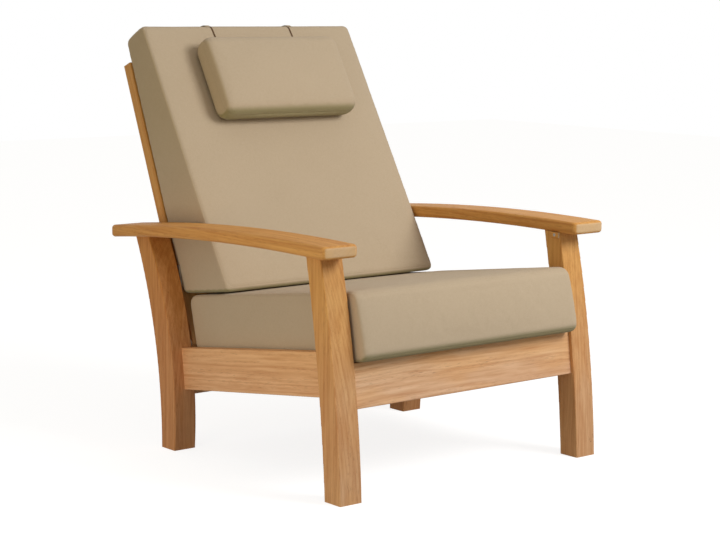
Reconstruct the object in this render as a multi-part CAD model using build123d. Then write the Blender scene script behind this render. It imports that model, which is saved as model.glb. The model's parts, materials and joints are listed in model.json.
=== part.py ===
"""Mission reclining armchair: a pegged hardwood frame with bowed legs and arms, and loose cushions.

Lengths are in millimetres. While it is modelled, x = 0 is the middle plane of the chair, z = 0 is the
floor and y = 0 is the front of the front feet. The sitter faces -Y, so the sitter's left side is +X. Left
pieces are modelled and mirrored. Seat pieces are made level and tipped with the seat. Back pieces are made
upright, with the hinge axis at zero, and leaned with the back. At the end everything moves so that the
middle of the chair's footprint is the origin.
"""

import os
from math import atan2, cos, degrees, hypot, radians, sin, sqrt, tan

from build123d import *

# Fits that all the pieces share
peg_fit = 0.05  # radial clearance of a pin, screw or peg in its hole
joint_fit = 0.1  # clearance round a tenon in its mortise
soft_gap = 0.4  # clearance between a cushion and what carries it
turn_gap = 0.3  # clearance between faces that slide past each other
overrun = 5.0  # how far a cut runs past the face that it opens

# Legs
clear_width = 660.0  # between the inner faces of the legs
leg_width = 60.0
front_foot_depth = 55.6
front_leg_lean = 75.7  # the front face moves back this much between floor and arm
front_leg_bow = 13.3  # and is this far ahead of a straight line at half height
front_top_depth = 50.5
front_leg_rear_bow = 9.2
foot_spacing = 632.5  # front of the front foot to front of the rear foot
rear_foot_depth = 55.7
rear_leg_lean = 103.1
rear_leg_bow = 37.1
rear_top_depth = 58.8
rear_leg_rear_bow = 28.1
leg_edge_radius = 2.5

# Arms
arm_width = 97.0
arm_thickness = 29.0
arm_front_height = 558.8
arm_rear_height = 524.5
arm_bow = 14.7
arm_front_overhang = 53.4  # past the front leg's front face
arm_rear_overhang = 62.9  # past the rear leg's rear face
arm_inner_overhang = 3.0  # past the legs' inner faces
arm_corner_radius = 12.0
arm_edge_radius = 8.0
arm_tenon_width = 34.0
arm_tenon_depth = 28.0
arm_tenon_height = 16.0

# Seat frame, which tips back as a whole
seat_slope = 7.58  # degrees
seat_front_height = 299.0  # top front edge of the front rail
front_rail_inset = 9.2  # behind the front leg's front face
end_rail_thickness = 28.0
front_rail_depth = 100.0
rear_rail_depth = 90.0
side_rail_thickness = 30.0
side_rail_depth = 100.0
side_rail_rise = 26.7  # how far the side rails stand above the slats
rear_rail_inset = 28.1  # behind the rear leg's front face
rail_tenon_thickness = 12.0
rail_tenon_shoulder = 15.0  # uncut above and below a tenon
end_tenon_length = 25.0
mortise_wall = 5.0  # wood between the mortises that meet in a leg
rail_edge_radius = 2.5

# Deck of slats
slat_count = 9
slat_width = 50.0
slat_thickness = 18.0
slat_end_gap = 1.0
slat_edge_radius = 3.0
cleat_width = 22.0
cleat_depth = 22.0
bearer_width = 30.0
bearer_depth = 45.0

# Fasteners
peg_radius = 4.0
peg_length = 27.0
peg_pitch = 36.0
peg_inset = 11.0  # from the shoulder of the joint
screw_radius = 2.0
screw_head_radius = 4.0
screw_head_height = 2.3
deck_screw_length = 34.0
cleat_screw_length = 42.0
cleat_screw_count = 4

# Blocks under the front of the arms
arm_block_length = 25.0
arm_block_depth = 13.0
arm_block_edge_radius = 1.5
arm_block_screw_length = 26.0

# Back frame and hinge
back_lean = 22.4  # degrees from upright, at the upright end of the travel
recline_angle = 20.0  # degrees of travel
hinge_above_deck = 34.2
hinge_inset = 19.2  # behind the rear leg's front face
stile_width = 45.0
stile_depth = 30.0
stile_length = 712.0  # from the hinge axis to the top
back_rail_thickness = 24.0
top_rail_depth = 70.0
bottom_rail_depth = 52.0
bottom_rail_height = 92.0  # from the hinge axis to its lower edge
back_tenon_length = 22.0
back_tenon_thickness = 10.0
back_tenon_shoulder = 10.0
back_slat_count = 5
back_slat_width = 60.0
back_slat_thickness = 12.0
back_slat_tongue = 8.0
back_edge_radius = 2.5

# Hinge hardware
pin_radius = 5.0
bush_radius = 8.0
hinge_head_radius = 9.0
hinge_head_height = 4.0
spacer_radius = 11.0
thread_radius = 4.0
thread_length = 26.0
insert_radius = 7.0
insert_length = 22.0

# Quadrants, slotted about the hinge, that hold the back where the thumb nuts clamp it
quadrant_thickness = 3.0
quadrant_standoff = 4.0
quadrant_inner_rim = 16.0  # between the screws and the inner edge
quadrant_outer_rim = 16.2  # between the slot and the outer edge
quadrant_front_margin = 10.0  # degrees ahead of the bolt's first place
quadrant_rear_margin = 9.0  # degrees behind its last place
slot_radius = 170.0
slot_width = 7.6
bolt_neck = 7.0
bolt_radius = 3.0
bolt_head_radius = 8.0
bolt_head_height = 2.4
washer_radius = 9.0
washer_thickness = 1.5
disc_radius = 10.0
disc_thickness = 0.6
quadrant_screw_radius_out = 128.0  # of the screws, from the hinge axis
quadrant_screw_angles = (-5.5, 4.5)  # degrees from the stile's first place
quadrant_spacer_radius = 6.0
quadrant_screw_length = 30.0

# Thumb nuts
nut_radius = 13.0
nut_thickness = 10.0
nut_boss_radius = 8.0
nut_boss_height = 3.0
flute_count = 8
flute_radius = 3.0
nut_thread_gap = 0.05
bolt_tail = 2.0  # past the nut

# Seat cushion
seat_side_gap = 5.5  # between the legs and the cushion's sides
seat_front_overhang = 45.0  # past the front rail
seat_front_lean = 20.0  # how far the front leans back over its height
seat_thickness = 155.0
seat_rear_drop = 5.0  # how much thinner the cushion is at the rear
seat_rear_inset = 30.0  # of the cushion's lower rear edge, ahead of the hinge axis
seat_rear_lean = 19.0  # how far the rear leans back over its height
seat_crown = 2.5
seat_front_bulge = 5.0
seat_rear_bulge = 3.0
seat_corner = 25.0
seat_side_round = 12.0
seat_side_draw = 6.0

# Back cushion
back_side_gap = 8.0  # between the legs' inner faces and the cushion's sides
back_top_rise = 58.0  # of the cushion above the stiles
back_front_rise = 8.0  # of its front edge above its rear edge
back_top_thickness = 88.0
back_bottom_thickness = 188.0
back_crown = 3.5
back_top_bulge = 3.0
back_corner = 17.0
back_side_round = 18.0
back_side_draw = 6.0

# Head pillow
pillow_half_width = 201.0
pillow_drop = 67.0  # from the back cushion's top, along its front
pillow_length = 213.0
pillow_thickness = 71.0
pillow_crown = 7.0
pillow_end_bulge = 4.0
pillow_corner = 28.0
pillow_side_round = 30.0
pillow_side_draw = 13.0

# Straps that hang the pillow over the back
strap_place = 121.0  # from the middle
strap_width = 5.0
strap_thickness = 1.2
strap_tail = 24.0  # down the rear of the top rail
strap_under_pillow = 12.0
strap_bend_share = 0.75  # of the back cushion's corners, that a strap cuts across
stud_radius = 6.0
stud_height = 3.0

# Share of a cushion's crown that is left at its sides
crown_left_share = 0.15
# Sections across a cushion's flat width, as shares of half of it
flat_shares = (-1.0, -0.5, 0.0, 0.5, 1.0)
# Angles of the sections round a cushion's side, in degrees
round_angles = (0, 30, 60, 90)


def circle_through(a, b, c):
    """Centre and radius of the circle through three points of the side view."""
    (ay, az), (by, bz), (cy, cz) = a, b, c
    twice = 2 * (ay * (bz - cz) + by * (cz - az) + cy * (az - bz))
    sa, sb, sc = ay**2 + az**2, by**2 + bz**2, cy**2 + cz**2
    centre_y = (sa * (bz - cz) + sb * (cz - az) + sc * (az - bz)) / twice
    centre_z = (sa * (cy - by) + sb * (ay - cy) + sc * (by - ay)) / twice
    return centre_y, centre_z, hypot(ay - centre_y, az - centre_z)


class LegFace:
    """The bowed front or rear face of a leg: an arc that runs back as it rises."""

    def __init__(self, foot, lean, bow, height):
        middle = (foot + lean / 2 - bow, height / 2)
        self.y0, self.z0, self.radius = circle_through((foot, 0), middle, (foot + lean, height))

    def at(self, height):
        return self.y0 - sqrt(self.radius**2 - (height - self.z0) ** 2)

    def edge(self, low, high):
        points = [(self.at(z), z) for z in (low, (low + high) / 2, high)]
        return ThreePointArc(*points)


def block(x, y, z):
    """A box between two values on each axis."""
    size = [b - a for a, b in (x, y, z)]
    return Pos(x[0], y[0], z[0]) * Box(*size, align=(Align.MIN,) * 3)


def rod(radius, start, end):
    """A round bar along X on the axis y = z = 0."""
    turned = Pos(start, 0, 0) * Rot(0, 90, 0)
    return turned * Cylinder(radius, end - start, align=(Align.CENTER, Align.CENTER, Align.MIN))


def side_slab(edges, x):
    """A side-view outline, given thickness between two values of x."""
    return extrude(Plane.YZ.offset(x[0]) * make_face(edges), x[1] - x[0])


def countersunk(length, ease=0.0):
    """A wood screw that points down, with its head flush at z = 0."""
    seat = Cone(
        screw_radius + ease,
        screw_head_radius + ease,
        screw_head_height,
        align=(Align.CENTER, Align.CENTER, Align.MAX),
    )
    shank = Cylinder(screw_radius + ease, length + ease, align=(Align.CENTER, Align.CENTER, Align.MAX))
    return seat + shank


def group(shapes):
    """Several pieces that share a sub-part, each still its own solid."""
    return Compound([solid for shape in shapes for solid in shape.solids()])


def cut_all(shape, tools):
    for tool in tools:
        shape = shape - tool
    return shape


# Places that several pieces share
inner_face = clear_width / 2
outer_face = inner_face + leg_width
leg_middle = (inner_face + outer_face) / 2
front_leg_height = arm_front_height - arm_thickness
rear_leg_height = arm_rear_height - arm_thickness
front_face = LegFace(0, front_leg_lean, front_leg_bow, front_leg_height)
front_back = LegFace(
    front_foot_depth,
    front_leg_lean + front_top_depth - front_foot_depth,
    front_leg_rear_bow,
    front_leg_height,
)
rear_face = LegFace(foot_spacing, rear_leg_lean, rear_leg_bow, rear_leg_height)
rear_back = LegFace(
    foot_spacing + rear_foot_depth,
    rear_leg_lean + rear_top_depth - rear_foot_depth,
    rear_leg_rear_bow,
    rear_leg_height,
)

arm_start = front_face.at(front_leg_height) - arm_front_overhang
arm_end = rear_back.at(rear_leg_height) + arm_rear_overhang
arm_peak = (arm_front_height + arm_rear_height) / 2 + arm_bow
arm_y0, arm_z0, arm_radius = circle_through(
    (arm_start, arm_front_height),
    ((arm_start + arm_end) / 2, arm_peak),
    (arm_end, arm_rear_height),
)

seat_y = front_face.at(seat_front_height) + front_rail_inset
seat = Location((0, seat_y, seat_front_height), (-seat_slope, 0, 0))
slope_cos, slope_sin = cos(radians(seat_slope)), sin(radians(seat_slope))


def to_seat(y, z):
    """Place of a side-view point in the seat's own axes: along the deck and above it."""
    dy, dz = y - seat_y, z - seat_front_height
    return dy * slope_cos - dz * slope_sin, dy * slope_sin + dz * slope_cos


def from_seat(along, above):
    y = seat_y + along * slope_cos + above * slope_sin
    return y, seat_front_height - along * slope_sin + above * slope_cos


def meet(face, above, behind=0.0):
    """How far along the deck a line above it meets a leg's face, or an arc behind that face."""
    from_y = seat_y + above * slope_sin - face.y0 - behind
    from_z = seat_front_height + above * slope_cos - face.z0
    half = from_y * slope_cos - from_z * slope_sin
    return -half - sqrt(half**2 + face.radius**2 - from_y**2 - from_z**2)


rear_rail_front = meet(rear_face, -rear_rail_depth / 2, rear_rail_inset)
deck_length = rear_rail_front - end_rail_thickness

hinge_along = meet(rear_face, hinge_above_deck, hinge_inset)
hinge_y, hinge_z = from_seat(hinge_along, hinge_above_deck)
back = Location((0, hinge_y, hinge_z), (-back_lean, 0, 0))
hinge = Location((0, hinge_y, hinge_z))
quadrant_face = inner_face - quadrant_standoff
quadrant_stile_face = quadrant_face - quadrant_thickness
quadrant_inner_radius = quadrant_screw_radius_out - quadrant_inner_rim
quadrant_outer_radius = slot_radius + slot_width / 2 + quadrant_outer_rim
stile_outer = quadrant_stile_face - disc_thickness - turn_gap
stile_inner = stile_outer - stile_width
stile_half = stile_depth / 2
nut_start = stile_inner - washer_thickness - 2 * turn_gap
seat_half_width = inner_face - seat_side_gap
arm_block_inner_face = seat_half_width + soft_gap


def arm_height(y, drop=0.0):
    """Height of the arm's top at y, or of the arc that lies the drop under it."""
    return arm_z0 + sqrt((arm_radius - drop) ** 2 - (y - arm_y0) ** 2)


def arm_arc(y_from, y_to, drop=0.0):
    points = [(y, arm_height(y, drop)) for y in (y_from, (y_from + y_to) / 2, y_to)]
    return ThreePointArc(*points)


def above_arm_underside(x):
    """Everything over the underside of an arm, to cut what stands below it."""
    y = (arm_start - arm_width, arm_end + arm_width)
    z = (arm_height(y[0], arm_thickness), arm_height(y[1], arm_thickness))
    top = arm_front_height + arm_width
    edges = [
        arm_arc(*y, arm_thickness),
        Line((y[1], z[1]), (y[1], top)),
        Line((y[1], top), (y[0], top)),
        Line((y[0], top), (y[0], z[0])),
    ]
    return side_slab(edges, x)


def leg_slab(front, rear, x, top):
    edges = [
        front.edge(0, top),
        Line((front.at(top), top), (rear.at(top), top)),
        rear.edge(0, top),
        Line((rear.at(0), 0), (front.at(0), 0)),
    ]
    return side_slab(edges, x)


def about_hinge(radius, angle):
    """Side-view point at a radius from the hinge, at an angle back from upright."""
    return radius * sin(radians(angle)), radius * cos(radians(angle))


# Tenons and their mortises
def arm_tenon(front, rear, height, ease=0.0):
    """The tenon on top of a leg, from inside the leg up into the arm."""
    middle = (front.at(height) + rear.at(height)) / 2
    half_width = arm_tenon_width / 2 + ease
    half_depth = arm_tenon_depth / 2 + ease
    low = min(arm_height(middle + d, arm_thickness) for d in (-half_depth, half_depth))
    return block(
        (leg_middle - half_width, leg_middle + half_width),
        (middle - half_depth, middle + half_depth),
        (low - overrun, arm_height(middle, arm_thickness) + arm_tenon_height + ease),
    )


side_rail_x = (inner_face, inner_face + side_rail_thickness)
side_rail_z = (side_rail_rise - side_rail_depth, side_rail_rise)
side_rail_middle = sum(side_rail_z) / 2


front_shoulder = meet(front_back, side_rail_middle)
rear_shoulder = meet(rear_face, side_rail_middle)


def side_rail_tenons(ease=0.0):
    """The left side rail's tenons, each as long as the end rail's mortise leaves room for."""
    half = rail_tenon_thickness / 2 + ease
    middle = sum(side_rail_x) / 2
    x = (middle - half, middle + half)
    z = (side_rail_z[0] + rail_tenon_shoulder - ease, side_rail_z[1] - rail_tenon_shoulder + ease)
    start = (end_rail_thickness + rail_tenon_thickness) / 2 + mortise_wall
    end = rear_rail_front + (end_rail_thickness - rail_tenon_thickness) / 2 - mortise_wall
    front = (start - ease, front_shoulder + side_rail_thickness)
    rear = (rear_shoulder - side_rail_thickness, end + ease)
    return [seat * block(x, front, z), seat * block(x, rear, z)]


def end_rail_tenon(start, depth, ease=0.0):
    """The left tenon of the front or rear rail, whose front face is at the start."""
    middle = start + end_rail_thickness / 2
    half = rail_tenon_thickness / 2 + ease
    return seat * block(
        (inner_face - overrun, inner_face + end_tenon_length + ease),
        (middle - half, middle + half),
        (-depth + rail_tenon_shoulder - ease, -rail_tenon_shoulder + ease),
    )


def tenon_pegs(ease=0.0):
    """Pegs from the legs' inner faces through the side rails' tenons, left side."""
    pegs = []
    for along in (front_shoulder - peg_inset, rear_shoulder + peg_inset):
        for up in (-peg_pitch / 2, peg_pitch / 2):
            place = seat * Pos(0, along, side_rail_middle + up)
            pegs.append(place * rod(peg_radius + ease, inner_face, inner_face + peg_length + ease))
    return pegs


def leg_edges_eased(leg, top):
    return fillet(leg.edges().filter_by(lambda edge: edge.length > top / 2), leg_edge_radius)


def quadrant_screw_places():
    places = []
    for angle in quadrant_screw_angles:
        y, z = about_hinge(quadrant_screw_radius_out, back_lean + angle)
        places.append(hinge * Pos(0, y, z))
    return places


def quadrant_screws(ease=0.0):
    across = Pos(quadrant_stile_face, 0, 0) * Rot(0, -90, 0)
    return [place * across * countersunk(quadrant_screw_length, ease) for place in quadrant_screw_places()]


def hinge_insert_solid(ease=0.0):
    return hinge * rod(insert_radius + ease, inner_face, inner_face + insert_length + ease)


def hinge_bolt_solid(ease=0.0):
    """The shouldered bolt that the stile turns on, screwed into the leg from the inside."""
    head_face = stile_inner - turn_gap
    bolt = rod(hinge_head_radius, head_face - hinge_head_height, head_face)
    bolt += rod(pin_radius + ease, head_face, inner_face)
    bolt += rod(thread_radius + ease, inner_face, inner_face + thread_length + ease)
    return hinge * bolt


def arm_block_place():
    """Front end of the block under the arm, on the leg's inner face."""
    return front_face.at(front_leg_height)


def arm_block_screw(ease=0.0):
    y = arm_block_place() + arm_block_length / 2
    z = arm_height(y, arm_thickness) - arm_block_depth / 2
    across = Pos(arm_block_inner_face, y, z) * Rot(0, -90, 0)
    return across * countersunk(arm_block_screw_length, ease)


def make_front_leg():
    top = front_leg_height + arm_thickness
    leg = leg_slab(front_face, front_back, (inner_face, outer_face), top)
    leg = leg_edges_eased(leg, top)
    leg -= above_arm_underside((inner_face - overrun, outer_face + overrun))
    leg += arm_tenon(front_face, front_back, front_leg_height)
    cuts = [side_rail_tenons(joint_fit)[0], end_rail_tenon(0, front_rail_depth, joint_fit)]
    cuts += tenon_pegs(peg_fit)[:2] + [arm_block_screw(peg_fit)]
    return cut_all(leg, cuts)


def make_rear_leg():
    top = rear_leg_height + 2 * arm_thickness
    leg = leg_slab(rear_face, rear_back, (inner_face, outer_face), top)
    leg = leg_edges_eased(leg, top)
    leg -= above_arm_underside((inner_face - overrun, outer_face + overrun))
    leg += arm_tenon(rear_face, rear_back, rear_leg_height)
    cuts = [side_rail_tenons(joint_fit)[1], end_rail_tenon(rear_rail_front, rear_rail_depth, joint_fit)]
    cuts += tenon_pegs(peg_fit)[2:] + quadrant_screws(peg_fit)
    cuts += [hinge_insert_solid(peg_fit), hinge_bolt_solid(peg_fit)]
    return cut_all(leg, cuts)


def make_arm():
    x = (inner_face - arm_inner_overhang, inner_face - arm_inner_overhang + arm_width)
    low = [arm_height(y, arm_thickness) for y in (arm_start, arm_end)]
    edges = [
        arm_arc(arm_start, arm_end),
        Line((arm_end, arm_rear_height), (arm_end, low[1])),
        arm_arc(arm_start, arm_end, arm_thickness),
        Line((arm_start, low[0]), (arm_start, arm_front_height)),
    ]
    arm = side_slab(edges, x)
    arm = fillet(arm.edges().filter_by(Axis.Z), arm_corner_radius)
    broad = arm.faces().sort_by(lambda face: face.area)[-2:]
    arm = fillet(broad[0].edges() + broad[1].edges(), arm_edge_radius)
    tenons = [
        arm_tenon(front_face, front_back, front_leg_height, joint_fit),
        arm_tenon(rear_face, rear_back, rear_leg_height, joint_fit),
    ]
    return cut_all(arm, tenons)


def rounded_block(x, y, z, axis, radius):
    """A box whose long edges, those along the axis, are rounded."""
    shape = block(x, y, z)
    return fillet(shape.edges().filter_by(axis), radius)


def make_side_rail():
    y = (front_shoulder - leg_width / 2, rear_shoulder + leg_width / 2)
    rail = seat * rounded_block(side_rail_x, y, side_rail_z, Axis.Y, rail_edge_radius)
    x = (inner_face - overrun, outer_face + overrun)
    rail -= leg_slab(front_face, front_back, x, front_leg_height)
    rail -= leg_slab(rear_face, rear_back, x, rear_leg_height)
    rail = rail.solids().sort_by(Axis.Y)[len(rail.solids()) // 2]
    rail = cut_all(Part() + rail + side_rail_tenons(), tenon_pegs(peg_fit))
    return cut_all(rail, cleat_screws(peg_fit))


def make_end_rail(start, depth):
    x, y = (-inner_face, inner_face), (start, start + end_rail_thickness)
    rail = seat * rounded_block(x, y, (-depth, 0), Axis.X, rail_edge_radius)
    tenon = end_rail_tenon(start, depth)
    return rail + tenon + mirror(tenon, about=Plane.YZ)


# The deck of slats
slat_gap = (deck_length - slat_count * slat_width) / (slat_count + 1)
slat_starts = [end_rail_thickness + slat_gap + k * (slat_width + slat_gap) for k in range(slat_count)]
slat_end = inner_face - slat_end_gap
cleat_top = -slat_thickness


def cleat_screws(ease=0.0):
    """Screws through the left cleat into the side rail."""
    pitch = deck_length / cleat_screw_count
    screws = []
    for k in range(cleat_screw_count):
        place = seat * Pos(inner_face - cleat_width, end_rail_thickness + pitch * (k + 1 / 2), 0)
        place *= Pos(0, 0, cleat_top - cleat_depth / 2) * Rot(0, -90, 0)
        screws.append(place * countersunk(cleat_screw_length, ease))
    return screws


# The rows of screws that run down through the slats, into the cleats and the bearer
cleat_row = inner_face - cleat_width / 2
screw_rows = (-cleat_row, 0, cleat_row)


def slat_screws(start, rows=screw_rows, ease=0.0):
    """The screws of the slat that starts at a place along the deck, one in each row."""
    screw = countersunk(deck_screw_length, ease)
    return [seat * Pos(x, start + slat_width / 2, 0) * screw for x in rows]


def row_holes(row):
    """What the screws of one row take out of the piece under the slats."""
    return [slat_screws(start, (row,), peg_fit)[0] for start in slat_starts]


def make_slats():
    slats = []
    for start in slat_starts:
        slat = block((-slat_end, slat_end), (start, start + slat_width), (cleat_top, 0))
        rims = slat.faces().sort_by(Axis.Z)[-1].edges().filter_by(Axis.X)
        slat = seat * fillet(rims, slat_edge_radius)
        slats.append(cut_all(slat, slat_screws(start, ease=peg_fit)))
    return slats


def make_cleat():
    x = (inner_face - cleat_width, inner_face)
    cleat = seat * block(x, (end_rail_thickness, rear_rail_front), (cleat_top - cleat_depth, cleat_top))
    return cut_all(cleat, row_holes(cleat_row) + cleat_screws(peg_fit))


def make_bearer():
    x = (-bearer_width / 2, bearer_width / 2)
    bearer = seat * block(x, (end_rail_thickness, rear_rail_front), (cleat_top - bearer_depth, cleat_top))
    return cut_all(bearer, row_holes(0))


def make_arm_block():
    y = arm_block_place()
    base = arm_height(y, arm_thickness) - arm_block_depth
    x = (arm_block_inner_face, inner_face)
    shape = block(x, (y, y + arm_block_length), (base, base + arm_thickness))
    shape = fillet(shape.faces().sort_by(Axis.X)[0].edges(), arm_block_edge_radius)
    shape -= above_arm_underside((inner_face - arm_width, outer_face))
    return shape - arm_block_screw(peg_fit)


# The back frame, upright, with y = 0 in the middle of its thickness and z = 0 at the hinge
back_rails = {
    "top": (stile_length - top_rail_depth, stile_length),
    "bottom": (bottom_rail_height, bottom_rail_height + bottom_rail_depth),
}


def back_tenon(span, ease=0.0):
    half = back_tenon_thickness / 2 + ease
    return block(
        (stile_inner - overrun, stile_inner + back_tenon_length + ease),
        (-half, half),
        (span[0] + back_tenon_shoulder - ease, span[1] - back_tenon_shoulder + ease),
    )


def back_pegs(ease=0.0):
    """Pegs from the rear through the tenons of the back rails, left side."""
    pegs = []
    for span in back_rails.values():
        place = Pos(stile_inner + back_tenon_length / 2, stile_half, sum(span) / 2) * Rot(90, 0, 0)
        length = stile_half + back_tenon_thickness + ease
        peg = Cylinder(peg_radius + ease, length, align=(Align.CENTER, Align.CENTER, Align.MIN))
        pegs.append(back * place * peg)
    return pegs


def make_stile():
    """A stile, round about the hinge at its foot and square at its top."""
    low, high = -stile_half, stile_half
    edges = [
        Line((low, 0), (low, stile_length)),
        Line((low, stile_length), (high, stile_length)),
        Line((high, stile_length), (high, 0)),
        ThreePointArc((high, 0), (0, -stile_half), (low, 0)),
    ]
    stile = side_slab(edges, (stile_inner, stile_outer))
    long_edges = stile.edges().filter_by(Axis.Z).filter_by(lambda edge: edge.length > stile_length / 2)
    stile = fillet(long_edges, back_edge_radius)
    stile -= rod(bush_radius + peg_fit, stile_inner - overrun, stile_outer + overrun)
    stile -= Pos(0, 0, slot_radius) * rod(bolt_radius + peg_fit, stile_inner - overrun, stile_outer + overrun)
    for span in back_rails.values():
        stile -= back_tenon(span, joint_fit)
    return cut_all(back * stile, back_pegs(peg_fit))


def back_slat_blocks(ease=0.0):
    """The upright slats between the back rails, with their tongues."""
    width = 2 * stile_inner
    gap = (width - back_slat_count * back_slat_width) / (back_slat_count + 1)
    z = (back_rails["bottom"][1] - back_slat_tongue - ease, back_rails["top"][0] + back_slat_tongue + ease)
    half = back_slat_thickness / 2 + ease
    slats = []
    for k in range(back_slat_count):
        start = -stile_inner + gap + k * (back_slat_width + gap)
        slat = block((start - ease, start + back_slat_width + ease), (-half, half), z)
        if not ease:
            slat = fillet(slat.edges().filter_by(Axis.Z), back_edge_radius)
        slats.append(back * slat)
    return slats


def make_back_rail(name):
    span = back_rails[name]
    half = back_rail_thickness / 2
    rail = rounded_block((-stile_inner, stile_inner), (-half, half), span, Axis.X, back_edge_radius)
    rail = rail + back_tenon(span) + mirror(back_tenon(span), about=Plane.YZ)
    pegs = back_pegs(peg_fit)
    pegs += [mirror(peg, about=Plane.YZ) for peg in pegs]
    return cut_all(back * rail, back_slat_blocks(joint_fit) + pegs)


# Hinge and clamp hardware, left side
def make_bush():
    x = (stile_inner, stile_outer)
    return back * (rod(bush_radius, *x) - rod(pin_radius + peg_fit, *x))


def make_hinge_spacer():
    x = (stile_outer + turn_gap, inner_face)
    return hinge * (rod(spacer_radius, *x) - rod(pin_radius + peg_fit, *x))


def make_insert():
    return hinge_insert_solid() - hinge_bolt_solid(peg_fit)


def sector(inner, outer, first, last):
    """Side-view edges of a ring's sector about the hinge."""
    middle = (first + last) / 2
    return [
        ThreePointArc(*[about_hinge(outer, angle) for angle in (first, middle, last)]),
        Line(about_hinge(outer, last), about_hinge(inner, last)),
        ThreePointArc(*[about_hinge(inner, angle) for angle in (first, middle, last)]),
        Line(about_hinge(inner, first), about_hinge(outer, first)),
    ]


def make_quadrant():
    first = back_lean - quadrant_front_margin
    last = back_lean + recline_angle + quadrant_rear_margin
    x = (quadrant_stile_face, quadrant_face)
    plate = hinge * side_slab(sector(quadrant_inner_radius, quadrant_outer_radius, first, last), x)
    half = slot_width / 2
    long_x = (x[0] - overrun, x[1] + overrun)
    neck_angle = degrees(bolt_neck / 2 / slot_radius)
    slot_ends = (back_lean - neck_angle, back_lean + recline_angle + neck_angle)
    slot = side_slab(sector(slot_radius - half, slot_radius + half, *slot_ends), long_x)
    for angle in slot_ends:
        y, z = about_hinge(slot_radius, angle)
        slot += Pos(0, y, z) * rod(half, *long_x)
    return cut_all(plate - hinge * slot, quadrant_screws(peg_fit))


def make_quadrant_spacers():
    blank = rod(quadrant_spacer_radius, quadrant_face, inner_face)
    blank -= rod(screw_radius + peg_fit, quadrant_face, inner_face)
    return [place * blank for place in quadrant_screw_places()]


def on_stile(shape):
    """Moves a part of the clamp from the hinge axis to its place on the stile."""
    return back * Pos(0, 0, slot_radius) * shape


def make_clamp_bolt():
    head = quadrant_face + turn_gap
    end = nut_start - nut_thickness - nut_boss_height - bolt_tail
    half = bolt_neck / 2
    bolt = rod(bolt_head_radius, head, head + bolt_head_height)
    bolt += block((stile_outer + disc_thickness + turn_gap, head), (-half, half), (-half, half))
    bolt += rod(bolt_radius, end, head)
    return on_stile(bolt)


def make_washer():
    x = (stile_inner - washer_thickness - turn_gap, stile_inner - turn_gap)
    return on_stile(rod(washer_radius, *x) - rod(bolt_radius + peg_fit, *x))


def make_disc():
    x = (stile_outer, stile_outer + disc_thickness)
    return on_stile(rod(disc_radius, *x) - rod(bolt_radius + peg_fit, *x))


def make_thumb_nut():
    """A fluted nut that clamps the stile against the quadrant."""
    rim = nut_start - nut_thickness
    end = rim - nut_boss_height
    nut = rod(nut_radius, rim, nut_start)
    flute = Pos(0, 0, nut_radius + flute_radius / 2) * rod(flute_radius, rim - overrun, nut_start + overrun)
    for k in range(flute_count):
        nut -= Rot(360 / flute_count * k, 0, 0) * flute
    nut += rod(nut_boss_radius, end, rim)
    nut -= rod(bolt_radius + nut_thread_gap, end - overrun, nut_start + overrun)
    return on_stile(nut)


# Cushions: rounded side-view sections, lofted from side to side
def unit(a, b):
    length = hypot(b[0] - a[0], b[1] - a[1])
    return (b[0] - a[0]) / length, (b[1] - a[1]) / length


def moved(point, *steps):
    y, z = point
    for direction, amount in steps:
        y += direction[0] * amount
        z += direction[1] * amount
    return y, z


def cushion_section(corners, bulges, radius, inset, crown_factor):
    """One section: four sides, bowed out by the bulges, and a rounded corner between each two.

    The corners run counter-clockwise in the side view. A bulge of zero leaves its side flat.
    """
    count = len(corners)
    drawn = []
    for k, corner in enumerate(corners):
        ahead = unit(corner, corners[(k + 1) % count])
        behind = unit(corner, corners[k - 1])
        drawn.append(moved(corner, (ahead, inset), (behind, inset)))
    edges = []
    for k, corner in enumerate(drawn):
        following = drawn[(k + 1) % count]
        along = unit(corner, following)
        start = moved(corner, (along, radius))
        end = moved(following, (along, -radius))
        if bulges[k]:
            middle = ((start[0] + end[0]) / 2, (start[1] + end[1]) / 2)
            outward = (along[1], -along[0])
            edges.append(ThreePointArc(start, moved(middle, (outward, bulges[k] * crown_factor)), end))
        else:
            edges.append(Line(start, end))
        onward = unit(following, drawn[(k + 2) % count])
        corner_end = moved(following, (onward, radius))
        chord = ((end[0] + corner_end[0]) / 2, (end[1] + corner_end[1]) / 2)
        rounding = radius * (1 - sqrt(1 / 2))
        edges.append(ThreePointArc(end, moved(chord, (unit(chord, following), rounding)), corner_end))
    return make_face(edges)


def cushion(corners, bulges, radius, half_width, side_round, side_draw):
    """A cushion with a crown, whose sides are drawn in round its edges."""
    flat = half_width - side_round

    def section(x, inset):
        factor = 1 - (1 - crown_left_share) * (x / half_width) ** 2
        corner = radius - inset * radius / (radius + side_draw)
        return Plane.YZ.offset(x) * cushion_section(corners, bulges, corner, inset, factor)

    middle = loft([section(flat * share, 0) for share in flat_shares])
    side_sections = []
    for angle in round_angles:
        turn = radians(angle)
        side_sections.append(section(flat + side_round * sin(turn), side_draw * (1 - cos(turn))))
    side = loft(side_sections)
    return middle + side + mirror(side, about=Plane.YZ)


seat_front, seat_rear = -seat_front_overhang, hinge_along - seat_rear_inset
seat_top_front, seat_top_rear = seat_front + seat_front_lean, seat_rear + seat_rear_lean
seat_top_fall = atan2(seat_rear_drop, seat_top_rear - seat_top_front)


def make_seat_cushion():
    corners = [
        (seat_front, soft_gap),
        (seat_rear, soft_gap),
        (seat_top_rear, seat_thickness - seat_rear_drop),
        (seat_top_front, seat_thickness),
    ]
    bulges = (0, seat_rear_bulge, seat_crown, seat_front_bulge)
    return seat * cushion(corners, bulges, seat_corner, seat_half_width, seat_side_round, seat_side_draw)


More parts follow.
